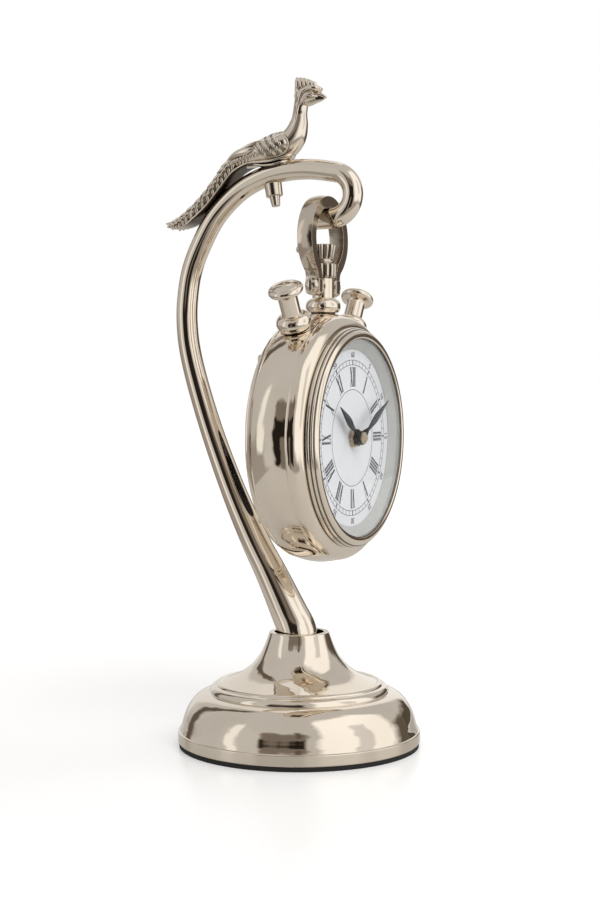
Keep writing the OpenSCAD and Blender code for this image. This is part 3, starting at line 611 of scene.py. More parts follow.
piece("crook_bar", bar_along(crook_line()), bar_nickel, "stand", ["crook"])

# Turned parts: base, case, neck and pushers

BEAD_FOOT, BEAD_TOP, CORE_R, WELL_R = 71.2, 79.5, 7.0, 5.55
DIAL_FACE = 33.4  # how far the dial's face stands in front of Y = 0


def base_shape():
    """The hollow base: rim, round dome, two bead rings, concave bell and collar, over a thin wall inside."""
    inside = smooth([[26, 42.2], [34, 38.3], [44, 33.2], [50, 28.5], [54.4, 28], [58.6, 25.4], [61.4, 20.8], [63.4, 14],
                     [65, 8], [66.2, 2.6]], 4)
    dome = smooth([[69, 9.3], [68.1, 11.6], [67.3, 14.5], [66.4, 17.6], [65.1, 20.8], [63.2, 24.1], [60.6, 27.3],
                   [57.4, 29.7], [54.4, 30.9], [52.2, 31.1]], 8)
    bell = smooth([[44.8, 36.6], [40, 38.4], [34.4, 41], [29, 44.8], [25.4, 48.6], [22.7, 52.3], [20.8, 55.9],
                   [19.4, 59.3], [18.3, 62.3], [17.6, 64.4]], 8)
    return turned(np.vstack([
        [[5.25, 50], [5.25, 44], [20, 44]], inside, [[69.6, 2.6], [70, 3.1], [70, 8.8], [69.5, 9.2]], dome,
        arc([51.8, 31.3], [48.6, 35.2], -0.9, 12), [[48.3, 35.3]], arc([48.1, 35.7], [45.3, 36.9], -0.5, 10), bell,
        [[17.4, 65.3], [17, 65.6], [14.3, 65.6], [14.3, 50]]]), 256, 0.3)


def shell_shape():
    """The barrel of the case: back edge, slow bulge, round shoulder to the bezel's seat, and the inner wall."""
    return placed(turned(np.vstack([
        [[66.6, 5.4], [68.9, 5.4]], arc([69.2, 5.7], [69.4, 26], -1.7, 48), arc([69.5, 26.3], [62.7, 34.2], -2, 28),
        [[60.4, 34.2], [60.4, 32.2], [53, 32.2], [53, 30.2], [61.9, 30.2], [66.6, 26]]]), 320), on_dial)


def bezel_shape():
    """The bezel: foot, two steps and the rolled lip that holds the glass. The hollow values darken its grooves and the
    inner edge of its lip as painted shade.
    """
    shape = turned(np.vstack([
        [[57.2, 32.2], [60.4, 32.2], [60.4, 34.2], [62.4, 34.2]], arc([62.4, 34.6], [62.2, 36.2], -0.2, 8),
        [[61.5, 36.6], [61.5, 36.9]], arc([61.7, 37.2], [61.2, 38.6], -0.3, 8), [[60.7, 38.8], [60.7, 39]],
        arc([60.7, 39.1], [56, 40.2], -1.1, 20), [[55.8, 40], [55.8, 39.8], [57.2, 39.8]]]), 320, 0.15)
    r, h = np.hypot(shape[0][:, 0], shape[0][:, 1]), shape[0][:, 2]
    gap = np.min([np.abs(h - middle) / half for middle, half in ((34.4, 0.5), (36.75, 0.4), (38.9, 0.35))], 0)
    return *placed(shape, on_dial), np.where(r > 60.2, np.clip(1.5 - gap, 0, 0.8), 0.8 * (r < 56.3))


def glass_shape():
    """The domed glass: outer and inner arcs of a circle and the rim that the bezel holds."""
    return placed(turned(np.vstack([
        [[0, 43.4]], arc([0.01, 43.4], [54.8, 38.2], 1.25, 40), [[57.15, 38.2], [57.15, 39.8], [55.7, 39.8]],
        arc([55.2, 39.9], [0.01, 44.8], -1.2, 40), [[0, 44.8]]]), 256, 0.1), on_dial)


def dial_ring_shape():
    """The white cone between the dial and the glass. Its grey paint is painted shade."""
    return placed(turned([[50, DIAL_FACE], [57.15, DIAL_FACE], [57.15, 38.15], [55.2, 38.15], [50.2, 33.9]], 256, 0.1),
                  on_dial)


def back_shape():
    """The domed back: rolled edge, long shallow dome and the rim of its round opening."""
    return placed(turned(np.vstack([
        [[64.6, 7.4], [64.6, 3.2], [63.8, 2], [59, 0.3], [59, 5], [35, 5], [35, -5.2], [30, -5.6], [30, -7.4]],
        [[32, -7.6]], arc([32.4, -7.6], [66.2, 0.2], 1.6, 40), arc([66.6, 0.5], [69.2, 4.7], 0.8, 14),
        [[68.9, 5.2], [68.9, 5.4], [66.4, 5.4], [66.4, 7.4]]]), 320), on_dial)


def bead_profile(r_in, r_bead):
    """A bead collar: flat foot, and a full round side that is widest low down."""
    return np.vstack([[[r_in, BEAD_FOOT], [r_bead - 1.4, BEAD_FOOT]],
                      arc([r_bead - 1.3, BEAD_FOOT + 0.1], [r_bead - 3.3, BEAD_TOP - 0.2], -2.3, 30),
                      [[r_bead - 3.5, BEAD_TOP], [r_in, BEAD_TOP]]])


def ferrule_profile(r_in, r_out=8.6):
    """The short ferrule between the case and a bead."""
    return [[r_in, 63.9], [CORE_R, 63.9], [CORE_R, 68.3], [r_out, 69.3], [r_out, 70.1], [r_out - 0.4, 70.4],
            [r_in, 70.4]]


def bead_gap(shape):
    """1 on the core in the gap between a ferrule and its bead, 0 elsewhere, for a form drawn round +Z: painted shade in
    that gap.
    """
    p = shape[0]
    return ((np.hypot(p[:, 0], p[:, 1]) < 7.6) & (p[:, 2] > 68.1) & (p[:, 2] < 72.3)).astype(float)


def neck_shape():
    """The neck: ferrule, bead, the core in the gap between them, the stem, its cross boss and the crown's spigot."""
    boss = turned([[0, -7.8], [4.2, -7.8], [4.2, 7.8], [0, 7.8]], 64)
    boss = placed(boss, lambda p: p[:, [2, 1, 0]] + [0, 0, PIVOT_Z - DIAL_Z])
    shape = joined(turned(bead_profile(0, 10), 144), turned(ferrule_profile(0), 128),
                   turned([[0, 68], [CORE_R, 68], [CORE_R, 72.4], [0, 72.4]], 96), boss,
                   turned([[0, 72], [6.25, 72], [6.25, 90.5], [3, 90.5], [3, 104.5], [0, 104.5]], 96, 0.3))
    return *placed(shape, on_rim, 0), bead_gap(shape)


def collar_shape(angle):
    """A pusher's bead collar with its ferrule and the well for the spring."""
    well = turned([[WELL_R, 58.4], [WELL_R, 72.2], [CORE_R, 72.2], [CORE_R, 57], [0.8, 57], [0.8, 58.4]], 96)
    shape = joined(turned(bead_profile(WELL_R, 9.8), 144), turned(ferrule_profile(WELL_R), 128), well)
    return *placed(shape, on_rim, angle), bead_gap(shape)


def pusher_shape(angle):
    """A pusher: stem from inside its collar, flared neck and a head with a thick round rim, a groove and a low dome."""
    return placed(turned(np.vstack([
        [[0, 73.2], [5.5, 73.2], [5.5, 90.4], [5.9, 91.2], [6.8, 91.7], [8, 91.8]],
        arc([8.2, 91.9], [8.1, 96.3], -1.7, 28), [[7.7, 96.4], [7.5, 96], [7.2, 96]],
        arc([7.1, 96.2], [0.01, 97.9], -0.8, 24), [[0, 97.9]]]), 144, 0.2), on_rim, angle)


piece("base_casting", base_shape(), nickel, "stand", ["base_dome"])
piece("case_barrel", shell_shape(), nickel, "clock", ["case_shell"])
piece("case_bezel", bezel_shape(), nickel, "clock", ["bezel"])
piece("case_back", back_shape(), nickel, "clock", ["back_cover"])
piece("case_glass", glass_shape(), glass, "clock", ["glass"])
piece("dial_cone", dial_ring_shape(), shaded_ring_paint, "clock", ["dial_ring"])
piece("neck", neck_shape(), nickel, "clock", ["neck_stem"])
for side, angle in (("left", -30), ("right", 30)):
    piece("collar_" + side, collar_shape(angle), nickel, "clock", ["pusher_collar_" + side])
    piece("button_" + side, pusher_shape(angle), nickel, "pusher_" + side, ["pusher_" + side])

# The bow with its screws, and the crown

BOW_Z, BOW_IN, BOW_OUT, BOW_HALF = 291.0, 17.55, 24.5, 4.6


def on_pivot(p, side):
    """Drawn round +Z: laid along X on the bow's pivot line, to one side."""
    return np.stack([side * p[..., 2], p[..., 0] + CLOCK_Y, p[..., 1] + PIVOT_Z], -1)


def ball(r, centre):
    """A sphere."""
    t = np.linspace(-math.pi / 2, math.pi / 2, 17)
    points, quads, tris = turned(np.stack([r * np.cos(t), r * np.sin(t)], 1).round(9), 32)
    return points + centre, quads, tris


def bow_shape():
    """The bow: a strap section of [depth, width] laid from an inner to an outer line over both legs and the ring.

    The legs' outer face sinks over a pointed field that gets wider towards the foot. Also gives the hollow values:
    painted shade on the sunk field and on the strap's inner face.
    """
    a = np.radians(np.linspace(-48, 90, 60))
    ring = np.stack([np.cos(a), np.sin(a)], 1)
    foot_in = [[8.3, 262], [8.3, 264.5], [8.3, 266.6], [8.9, 270.6], [10.2, 274.6], [11.74, 277.96]]
    foot_out = [[14.2, 262], [14.2, 264.5], [14.2, 267.5], [14.6, 270.2], [15.3, 271.8], [16.39, 272.8]]
    legs = ((foot_in, BOW_IN), (foot_out, BOW_OUT))
    inner, outer = (np.vstack([smooth(foot, 9)[:-1], [0, BOW_Z] + r * ring]) for foot, r in legs)
    inner, outer = (np.vstack([line, line[-2::-1] * [-1, 1]]) for line in (inner, outer))
    depth = BOW_OUT - BOW_IN
    faces = [arc([x, -h], [x, h], 0.5, 28) for x, h in ((0.5, BOW_HALF), (depth - 0.5, -BOW_HALF))]
    section = softened(np.vstack(faces), 0.45, True)
    u, v = section[:, 0] / depth, section[:, 1]
    z = outer[:, 1:2]
    field = np.interp(z, [266, 270, 283], [2.6, 2.4, -0.4])
    sunk = np.clip((field - np.abs(v)) / 0.7, 0, 1) * (u > 0.8) * (z < 283)
    width = np.interp((inner[:, 1:2] + z) / 2, [272, 285], [4.1 / BOW_HALF, 1])
    P = inner[:, None] + (outer - inner)[:, None] * (u - sunk / depth)[..., None]
    strap = skin(np.stack([P[..., 0], CLOCK_Y + v * width, P[..., 1]], -1))
    t = full_turn(96)
    eye = extruded(np.stack([np.clip(5.6 * np.cos(t), -4.25, 4.25), 5.6 * np.sin(t)], 1), 8.22, 14.28, 0.3)
    shape = joined(strap, placed(eye, on_pivot, 1), placed(eye, on_pivot, -1),
                   ball(2.2, [20.9, -10.9, 283.6]), ball(2.2, [-20.9, -10.9, 283.6]))
    marks = np.zeros(len(shape[0]))
    # Painted shade: the sunk field and the strap's inner face are darkened.
    marks[:sunk.size] = np.maximum(0.55 * sunk, 0.5 * (u < 0.06) + 0 * sunk).ravel()
    return *shape, marks


def screw_shape(side):
    """A domed screw head in two halves beside its slot, each level a circle cut by a chord, on a round shank."""
    levels = np.vstack([[[4, 14.4], [4.2, 14.6], [4.2, 15]], arc([4.15, 15.1], [0.8, 17.1], -0.45, 10)])
    a = np.linspace(-1, 1, 40)
    r = levels[:, 0:1]
    turn = np.arccos(np.clip(0.6 / r, 0, 1)) * a
    bend = np.stack([r * np.cos(turn), r * np.sin(turn)], -1)
    chord = np.stack([0.6 + 0 * r * a[:10], np.linspace(1, -1, 12)[1:-1] * np.abs(bend[:, -1:, 1])], -1)
    ring = np.concatenate([bend, chord], 1)
    half = skin(np.concatenate([ring, np.broadcast_to(levels[:, 1][:, None, None], ring.shape[:2] + (1,))], -1))
    shank = turned([[0, 4.2], [2, 4.2], [2, 7.8], [2.5, 7.8], [2.5, 14.3], [3.9, 14.4], [3.9, 15.6], [0, 15.6]], 64)
    return placed(joined(half, mirror(half), shank), on_pivot, side)


def fluted(z0, z1, r0, r1, ribs=12):
    """A drum with rounded ribs: radius R(z) - 1.5 (1 - |sin(ribs t / 2)|^0.6), with both rims drawn in. Its groove
    values darken the grooves as painted shade.
    """
    s = np.array([0, 0, 0.03, 0.08, 0.2, 0.4, 0.6, 0.8, 0.92, 0.97, 1, 1])[:, None]
    tuck = np.array([2.2, 0.9, 0.35, 0.05, 0, 0, 0, 0, 0.1, 0.4, 1.0, 2.4])[:, None]
    t = full_turn(ribs * 20)
    groove = 1 - np.abs(np.sin(ribs * t / 2)) ** 0.6
    r = r0 + (r1 - r0) * s - tuck - 1.5 * groove * (tuck < 2)
    G = np.stack([r * np.cos(t), r * np.sin(t), z0 + (z1 - z0) * s + 0 * t], -1)
    return skin(G), np.concatenate([(groove + 0 * s).ravel(), [0, 0]])


def crown_shape():
    """The crown: two fluted drums, the upper one flared, with a thin ring on a core between them."""
    (low, low_marks), (high, high_marks) = fluted(268.6, 277, 7.4, 7.8), fluted(279.2, 287.8, 5.9, 7.7)
    core = turned([[0, 276.4], [5.2, 276.4], [5.2, 277.6], [6.1, 277.6], [6.1, 278.5], [5.2, 278.5], [5.2, 279.6],
                   [0, 279.6]], 96)
    marks = np.concatenate([low_marks, high_marks, np.zeros(len(core[0]))])
    return *placed(joined(low, high, core), on_neck), marks


piece("bow_strap", bow_shape(), shaded_cast_nickel, "bow", ["bow"])
piece("screw_heads", joined(screw_shape(1), screw_shape(-1)), trim_nickel, "clock", ["bow_screws"])
piece("crown_fluted", crown_shape(), shaded_cast_nickel, "crown", ["crown"])

# The bird with its stud and nut


def on_arch(p):
    """Drawn round +Z: set square across the arch, which slopes 9 degrees there."""
    c, s = math.cos(math.radians(9)), math.sin(math.radians(9))
    return np.stack([p[..., 0], 17.8 + p[..., 1] * c + p[..., 2] * s, 329.4 - p[..., 1] * s + p[..., 2] * c], -1)


def rings_along(line, sides, n=6, boxy=1.0):
    """Rings on stations [x, y, z, half height, half width] of a path along Y and Z; x is 0 where it is left out.

    The point at angle a is the centre + half width S(sin a) along X + half height S(cos a) along the path's normal,
    where S(v) = sign(v) |v|^boxy, so that boxy under 1 flattens the sides.
    """
    L = smooth([[0] * (5 - len(row)) + list(row) for row in line], n)
    d = np.gradient(L[:, 1:3], axis=0)
    d /= np.linalg.norm(d, axis=1)[:, None] + 1e-9
    a = full_turn(sides)
    s, c = (np.sign(v.round(9)) * np.abs(v) ** boxy for v in (np.sin(a), np.cos(a)))
    h, w = L[:, 3:4], L[:, 4:5]
    return np.stack([L[:, 0:1] + w * s, L[:, 1:2] - d[:, 1:2] * h * c, L[:, 2:3] + d[:, 0:1] * h * c], -1)


def with_hollow(rings, hollow, ends=(0, 0)):
    """A skin over the rings, with a hollow value for each of their points and for its two poles."""
    return skin(rings), np.concatenate([hollow.ravel(), ends])


def blade(line, hollow, sides):
    """A closed smooth form on rings_along, with one hollow value."""
    rings = rings_along(line, sides)
    return with_hollow(rings, np.full(rings.shape[:2], hollow), (hollow, hollow))


LEAF = np.array([[0, 0.4], [0.1, 0.75], [0.28, 0.97], [0.5, 1], [0.7, 0.85], [0.86, 0.55], [0.96, 0.25], [1, 0.06]])


def leaves(base, axis, side, width, height):
    """Many small closed leaves: base + axis s + side width w(s) cos a + normal height w(s)^0.7 sin a.

    The side is made square to the axis, the normal is axis x side, and w(s) is the outline in LEAF. The hollow value is
    high at each root and along the edges, as painted shade between the leaves.
    """
    n = len(base)
    along = unit(axis)
    side = unit(side - along * (side * along).sum(1)[:, None])
    normal = np.cross(along, side)
    width, height = (np.broadcast_to(v, n)[:, None, None, None] for v in (width, height))
    s, w = LEAF[None, :, 0, None, None], LEAF[None, :, 1, None, None]
    a = full_turn(8)[None, None, :, None]
    P = (base[:, None, None] + axis[:, None, None] * s + side[:, None, None] * width * w * np.cos(a)
         + normal[:, None, None] * height * w ** 0.7 * np.sin(a))
    cap = np.array([[0, 1, 2, 7], [2, 3, 6, 7], [3, 4, 5, 6]])
    one = np.vstack([grid_faces(8, 8), cap[:, ::-1], cap + 56])
    quads = (one[None] + 64 * np.arange(n)[:, None, None]).reshape(-1, 4)
    hollow = np.clip(0.5 * np.abs(np.cos(a)) ** 6 + 3 * (0.14 - s), 0, 0.8)
    return outward(P.reshape(-1, 3), quads, np.zeros((0, 3), int)), np.broadcast_to(hollow, (n, 8, 8, 1)).ravel()


def both(part):
    """A part of the bird's +X side and its mirror image."""
    shape, hollow = part
    return joined(shape, mirror(shape)), np.concatenate([hollow, hollow])


# The bird's stations [x, y, z, half height, half width], where x is 0 if it is left out, and the wing's outline [y, z]
BODY = [
    [47, 336.6, 2.2, 3.4], [41, 337.6, 3.8, 6], [34, 339, 5.2, 8], [24, 342, 7.1, 9.6], [13.5, 343.8, 7.3, 10],
    [7, 346.2, 7.3, 9.2], [2.6, 350.8, 6.8, 7.2], [0.2, 357, 5.4, 5.4], [-0.6, 363, 4.2, 4.2], [-1.4, 369, 4.1, 4],
]
SKULL = [
    [2.6, 374.2, 0.6, 0.6], [1.6, 373.9, 2.8, 2.6], [-1.4, 373.2, 4.7, 4.1], [-4.6, 372.7, 5.2, 4.5],
    [-7.6, 372.3, 4.6, 4.2], [-10, 372, 3.4, 3.3], [-11.8, 371.9, 2, 2.2], [-12.8, 371.8, 0.6, 0.8],
]
TAIL = [
    [36, 339.5, 3.6, 5.4], [43, 334.5, 4.2, 6.2], [50.5, 326, 4.1, 6.6], [60.5, 315.5, 4, 6.8], [71.5, 306.9, 3.7, 6.2],
    [79, 303.3, 2.6, 4.6], [84.5, 302.4, 1.3, 2.6], [88.3, 302.4, 0.2, 0.4],
]
WING = [
    [5.2, 349.5], [3.6, 347.1], [3.4, 344.5], [4.7, 342], [7.4, 340.2], [11.1, 338.9], [15.2, 338.6], [18.1, 339.5],
    [20.4, 341.1], [22.2, 343.2], [24.1, 345], [26.3, 345.3], [27.6, 346.1], [26, 348], [22.2, 350], [18.5, 351.3],
    [14.4, 352.5], [10.4, 353], [7, 352.3],
]
# Two plates under the body and the tail: the power that squares their rings, and their stations
PLATES = (
    (0.6, [[3.4, 341.4, 0.2, 1.2], [4.2, 340.2, 1, 3.6], [6.2, 338.8, 1.2, 5.6], [9.8, 337.5, 1.2, 7.1],
        [15, 336.4, 1.2, 7.9], [22, 336.1, 1.2, 7.9], [28, 336.2, 1.1, 7.6], [33, 335.2, 1, 7.4],
        [40.6, 331.2, 0.9, 7.3], [48, 323.4, 0.9, 7.4], [58, 312.9, 0.9, 7.4], [69.6, 304.3, 0.9, 6.6],
        [75, 302, 0.8, 5.2], [79.5, 301.3, 0.7, 3.8], [83.6, 301.6, 0.5, 2.2], [86.6, 302.3, 0.15, 0.8]]),
    (0.5, [[6.6, 337, 0.2, 2], [7.2, 336.4, 0.7, 4], [8.9, 335.5, 1, 5.8], [11.4, 334.8, 1, 6.7], [15, 334.2, 0.9, 7.1],
        [20.5, 334.2, 0.9, 7.1], [24, 334.8, 0.8, 6.8], [27, 335.7, 0.6, 6.2], [28.8, 336.4, 0.2, 5]]),
)
# Smooth forms of the +X side, on the head and on the flank: sides of their rings, and stations
HEAD = (
    (20, [[1.2, -13.5, 375, 0.4, 0.5], [2.9, -12.8, 375.7, 1.5, 1.3], [3.9, -11, 376.2, 1.5, 1.2],
        [4.2, -8.6, 376.4, 1.3, 1.1], [4.4, -6.2, 375.8, 1.2, 1], [4.5, -4.3, 374.4, 1.2, 1],
        [4.5, -3.1, 372.4, 1.1, 1], [4.3, -2.2, 370, 1, 0.9], [4.1, -1.5, 367.6, 0.9, 0.8],
        [4.2, -0.8, 364.6, 0.8, 0.7], [4.4, -0.2, 360.6, 0.6, 0.5], [4.9, 0.6, 356, 0.15, 0.2]]),
    (18, [[3.2, -11.6, 371.4, 0.3, 0.3], [4, -10.4, 371.7, 0.8, 0.8], [4.5, -8.9, 372.3, 1, 0.9],
        [4.7, -7.4, 372.7, 1, 0.9], [4.7, -6, 372, 1, 0.9], [4.6, -4.6, 370.6, 0.9, 0.8], [4.3, -3.4, 369, 0.8, 0.7],
        [3.9, -2.6, 367.2, 0.2, 0.2]]),
    (16, [[4.3, -8.8, 374.2, 0.1, 0.2], [4.7, -9.6, 373.8, 0.6, 0.7], [4.6, -10.5, 373.3, 0.6, 0.6],
        [4, -11.5, 372.7, 0.1, 0.2]]),
    (16, [[2, 1.6, 378.2, 0.3, 0.3], [2.5, 0.6, 376, 1, 0.9], [3, 0.2, 372.6, 0.9, 0.9], [3.4, 0.8, 367.6, 0.8, 0.8],
        [3.9, 1.7, 361.6, 0.6, 0.6], [4.8, 2.8, 356.4, 0.1, 0.2]]),
)
FLANK = (
    (24, [[9.4, 23.8, 343.9, 0.2, 0.3], [9.8, 26.5, 343.1, 1.3, 1.1], [9.5, 30, 342.3, 2, 1.3],
        [8.9, 34, 341.9, 2.1, 1.3], [8, 38, 341, 1.5, 1.2], [7, 41, 339.8, 0.9, 1], [6.2, 43.8, 338.4, 0.15, 0.3]]),
    (20, [[6.8, 20.5, 348, 0.2, 0.3], [7.4, 23.5, 347.4, 0.9, 1], [7.8, 27, 346.2, 1, 1.1], [7.8, 30.5, 345, 0.9, 1],
        [7.4, 34, 344, 0.5, 0.8], [7, 36.5, 343.4, 0.1, 0.2]]),
    (20, [[4.6, 24.5, 348.6, 0.2, 0.3], [5, 28, 347.2, 0.8, 1.2], [5.2, 32, 345.4, 0.8, 1.2],
        [5, 36.5, 343.4, 0.2, 0.4]]),
)
# Smooth forms in the middle, brow, beak, throat and crest: hollow value, sides of their rings, and stations. The hollow
# value darkens a form as painted shade, most in the gap under the upper beak.
MIDDLE = (
    (0, 28, [[-9.4, 376, 1.6, 2.6], [-11.4, 376, 2, 2.6], [-13, 375.7, 1.7, 2], [-14.1, 375.4, 0.4, 0.6]]),
    (0, 24, [[-8.6, 372.4, 1.3, 3.2], [-10.4, 372.7, 1.5, 3], [-12.4, 372.8, 1.45, 2.5], [-14.3, 372.3, 1.25, 1.9],
        [-15.9, 371.5, 1, 1.3], [-17, 370.8, 0.65, 0.8], [-17.4, 370.5, 0.2, 0.3]]),
    (1, 24, [[-6, 370.5, 1.2, 3], [-9, 370.6, 1.2, 2.9], [-12, 370.8, 0.9, 2], [-14.6, 370.7, 0.5, 1],
        [-16, 370.4, 0.1, 0.2]]),
    (0.15, 24, [[-3.4, 367.6, 1, 2.6], [-5.6, 368.1, 1.4, 3.2], [-8, 368.7, 1.4, 3.1], [-10.5, 369.2, 1.1, 2.6],
        [-13, 369.5, 0.7, 1.8], [-15, 369.8, 0.45, 1], [-16.2, 370, 0.1, 0.2]]),
    (0.6, 20, [[1.6, 378, 0.3, 0.4], [0.2, 380, 2.4, 0.9], [-3, 380, 2.6, 1], [-6.4, 379.2, 1.9, 1.1],
        [-9.4, 378, 1, 1], [-11, 377.4, 0.2, 0.3]]),
)
# Rows of leaves on the flank: how many, first and last y, first and last z, step, width, height, lift of root and tip
FLANK_ROWS = (
    (5, (23.4, 17.8), (348.4, 342), (-0.9, -3.2), 1.05, 0.8, (0.8, 1.3)),
    (6, (21, 12.6), (350, 342.2), (-1.2, -3.5), 1.15, 0.8, (0.7, 1.4)),
    (6, (17.4, 8.8), (351.2, 343.4), (-1.2, -3.5), 1.15, 0.8, (0.7, 1.5)),
    (4, (13.6, 8), (351.6, 346.6), (-1, -2.8), 1.1, 0.8, (0.7, 1.5)),
    (6, (24.4, 36), (341.6, 339.2), (-1.6, -3.2), 0.9, 0.7, (0.5, 1)),
    (5, (29, 39), (338.8, 336.2), (1.8, -2.6), 1, 0.7, (0.4, 0.8)),
)
# Rows of leaves on the tail: how many, first and last place, angle, lean, first and last length, width, height, lift
TAIL_ROWS = (
    (11, (0.14, 0.8), 15, -4, (8, 5), 1.35, 0.7, 0.14),
    (12, (0.1, 0.82), 45, -8, (8, 5), 1.3, 0.75, 0.1),
    (14, (0.12, 0.8), 72, 24, (5, 3.4), 1.05, 0.7, 0.12),
    (15, (0.1, 0.76), 98, 40, (4.2, 3), 0.9, 0.6, 0.1),
)


def flank(y, z):
    """How far the body's side stands out at [y, z]: w sqrt(1 - ((z - middle) / h)^2), never less than 0.35 w."""
    table = np.array([[2, 347.5, 7.3, 6.8], [5, 346.8, 7.3, 8.4], [7, 346.2, 7.3, 9.2], [13.5, 343.8, 7.3, 10],
                      [24, 342, 7.1, 9.6], [34, 339, 5.2, 8], [41, 337.6, 3.8, 6.4], [47, 336.6, 2.2, 4]])
    middle, h, w = (np.interp(y, table[:, 0], table[:, i]) for i in (1, 2, 3))
    return w * np.sqrt(np.clip(1 - ((z - middle) / h) ** 2, 0.12, 1))


def flank_leaves(count, y, z, step, width, height, lift):
    """Leaves laid on the body's side, each ending one step from its place [y, z], with root and tip lifted off it."""
    y, z = np.linspace(*y, count), np.linspace(*z, count)
    y1, z1 = y + step[0], z + step[1]
    base = np.stack([flank(y, z) + lift[0], y, z], 1)
    tip = np.stack([flank(y1, z1) + lift[1], y1, z1], 1)
    out = np.stack([np.ones_like(y), 0 * y, 0.5 * (z - 344) / 7], 1)
    return leaves(base, tip - base, np.cross(out, tip - base), width, height)


def wing_cover():
    """The oval wing cover: rings shrink from its outline to its middle over the flank, then back inside it."""
    outline = smooth(WING + WING[:1], 5)[:-1]
    middle = np.array([14, 344.8])
    s, lift = np.array([[0.04, 1.3], [0.25, 1.3], [0.5, 1.3], [0.7, 1.25], [0.85, 1.1], [0.95, 0.85], [1, 0.3],
                        [1, -0.8], [0.6, -1.2], [0.04, -1.2]]).T
    P = middle + s[:, None, None] * (outline - middle)
    y, z = P[..., 0], P[..., 1]
    # Painted shade: the cover is darkened where it lies under the leaves.
    under_leaves = (y - 5.2) * 7.3 - (z - 343) * 7.4 >= 0
    return with_hollow(np.stack([flank(y, z) + lift[:, None], y, z], -1), 0.6 * under_leaves, (0.6, 0))


def wing_rim():
    """The raised rim round the front and the foot of the wing cover."""
    edge = np.array([[10.4, 352.8], [7, 352.1]] + WING[:11] + [[25.2, 345.3]])
    size = np.interp(np.arange(len(edge)), [0, 2, len(edge) - 3, len(edge) - 1], [0.15, 0.6, 0.6, 0.15])
    return blade(np.column_stack([flank(edge[:, 0], edge[:, 1]) + 0.8, edge, size, size]), 0, 12)


def tail_leaves(count, at, angle, lean, length, width, height, lift):
    """Leaves on the tail at one angle round its rings, leaning towards higher angles, with lifted tips."""
    G = rings_along(TAIL, 72, 12)
    row = (np.linspace(*at, count) * (len(G) - 1)).astype(int)
    col = round(angle / 5)
    middle = G.mean(1)
    base = G[row, col]
    along = unit(middle[np.minimum(row + 2, len(G) - 1)] - middle[row - 1])
    across = unit(G[row, col + 1] - G[row, col - 1])
    out = np.cross(across, along)
    out *= np.sign(((base - middle[row]) * out).sum(1))[:, None]
    t = math.radians(lean)
    axis = (along * math.cos(t) + across * math.sin(t) + out * lift) * np.linspace(*length, count)[:, None]
    return leaves(base + out * 0.15, axis, np.cross(out, axis), width, height)


def side_distance(rings, spots):
    """How far each point of the rings is, seen from the side, from the nearest of the spots [y, z]."""
    return np.min(np.hypot(rings[..., 1, None] - spots[:, 0], rings[..., 2, None] - spots[:, 1]), -1)


def bird_body():
    """The body, darkened as painted shade at three spots of the neck, round the wing and along two folds of the back.
    """
    rings = rings_along(BODY, 56, 8)
    dark = np.array([[-1.3, 365.6], [-2.3, 363.2], [-3.2, 367.8]])
    folds = ([[21, 347.3], [24, 345.9], [27.8, 344.6], [32, 343.9], [36.6, 342.6], [40.4, 341.3]],
             [[24.4, 342.2], [28, 340.8], [33, 339.9], [38, 339.2], [43, 338]])
    near, edge, line = (side_distance(rings, spots) for spots in (
        dark, smooth(WING[:11], 4), np.vstack([smooth(fold, 5) for fold in folds])))
    hollow = np.maximum(np.maximum(1.25 - near / 1.5, 1.2 - edge / 1.1), 1 - line / 0.7)
    return with_hollow(rings, np.clip(hollow, 0, 0.95) * (np.abs(rings[..., 0]) > 1.5))


def bird_shape():
    """The bird from closed parts, each with its hollow values: smooth forms first, then rows of leaves."""
    parts = [bird_body(), blade(SKULL, 0, 40)]
    tail = rings_along(TAIL, 48, 10)
    # Painted shade: the tail darkens towards its lower side.
    turn = np.abs((np.arange(48) * 7.5 + 180) % 360 - 180)
    hollow = np.interp(turn, [0, 90, 112, 122, 180], [0.25, 0.35, 0.7, 1, 1])
    parts.append(with_hollow(tail, hollow * (tail[..., 1] < 81)))
    for boxy, line in PLATES:
        # Painted shade: the plates darken on their undersides.
        rings = rings_along(line, 48, 6, boxy)
        under = np.interp(np.abs(np.arange(48) * 7.5 - 180), [0, 68, 80, 180], [1, 1, 0, 0])
        parts.append(with_hollow(rings, under * np.interp(rings[..., 1], [8, 10.2, 66, 76], [0.2, 1, 1, 0.3])))
    side = [blade(line, 0, sides) for sides, line in HEAD] + [wing_cover(), wing_rim()]
    side += [blade(line, 0, sides) for sides, line in FLANK]
    side += [flank_leaves(*row) for row in FLANK_ROWS] + [tail_leaves(*row) for row in TAIL_ROWS]
    parts += [both(part) for part in side]
    parts += [blade(line, hollow, sides) for hollow, sides, line in MIDDLE]
    roots = np.array([[0, 0.2, 376.8], [0, -2.6, 376.9], [0, -5.4, 377.1], [0, -8.2, 377.3], [0, -10.6, 377]])
    tips = np.array([[0, 0.9, 383.7], [0, -1.2, 383.5], [0, -3.4, 383], [0, -5.8, 382], [0, -8, 380.5]])
    x = np.array([[1, 0, 0], [-1, 0, 0]])
    base, axis = (roots[:, None] + x).reshape(-1, 3), np.repeat(tips - roots, 2, 0)
    parts.append(leaves(base, axis, np.cross(axis, [1, 0, 0]), 1.75, 1.2))
    return *joined(*(shape for shape, _ in parts)), np.concatenate([marks for _, marks in parts])


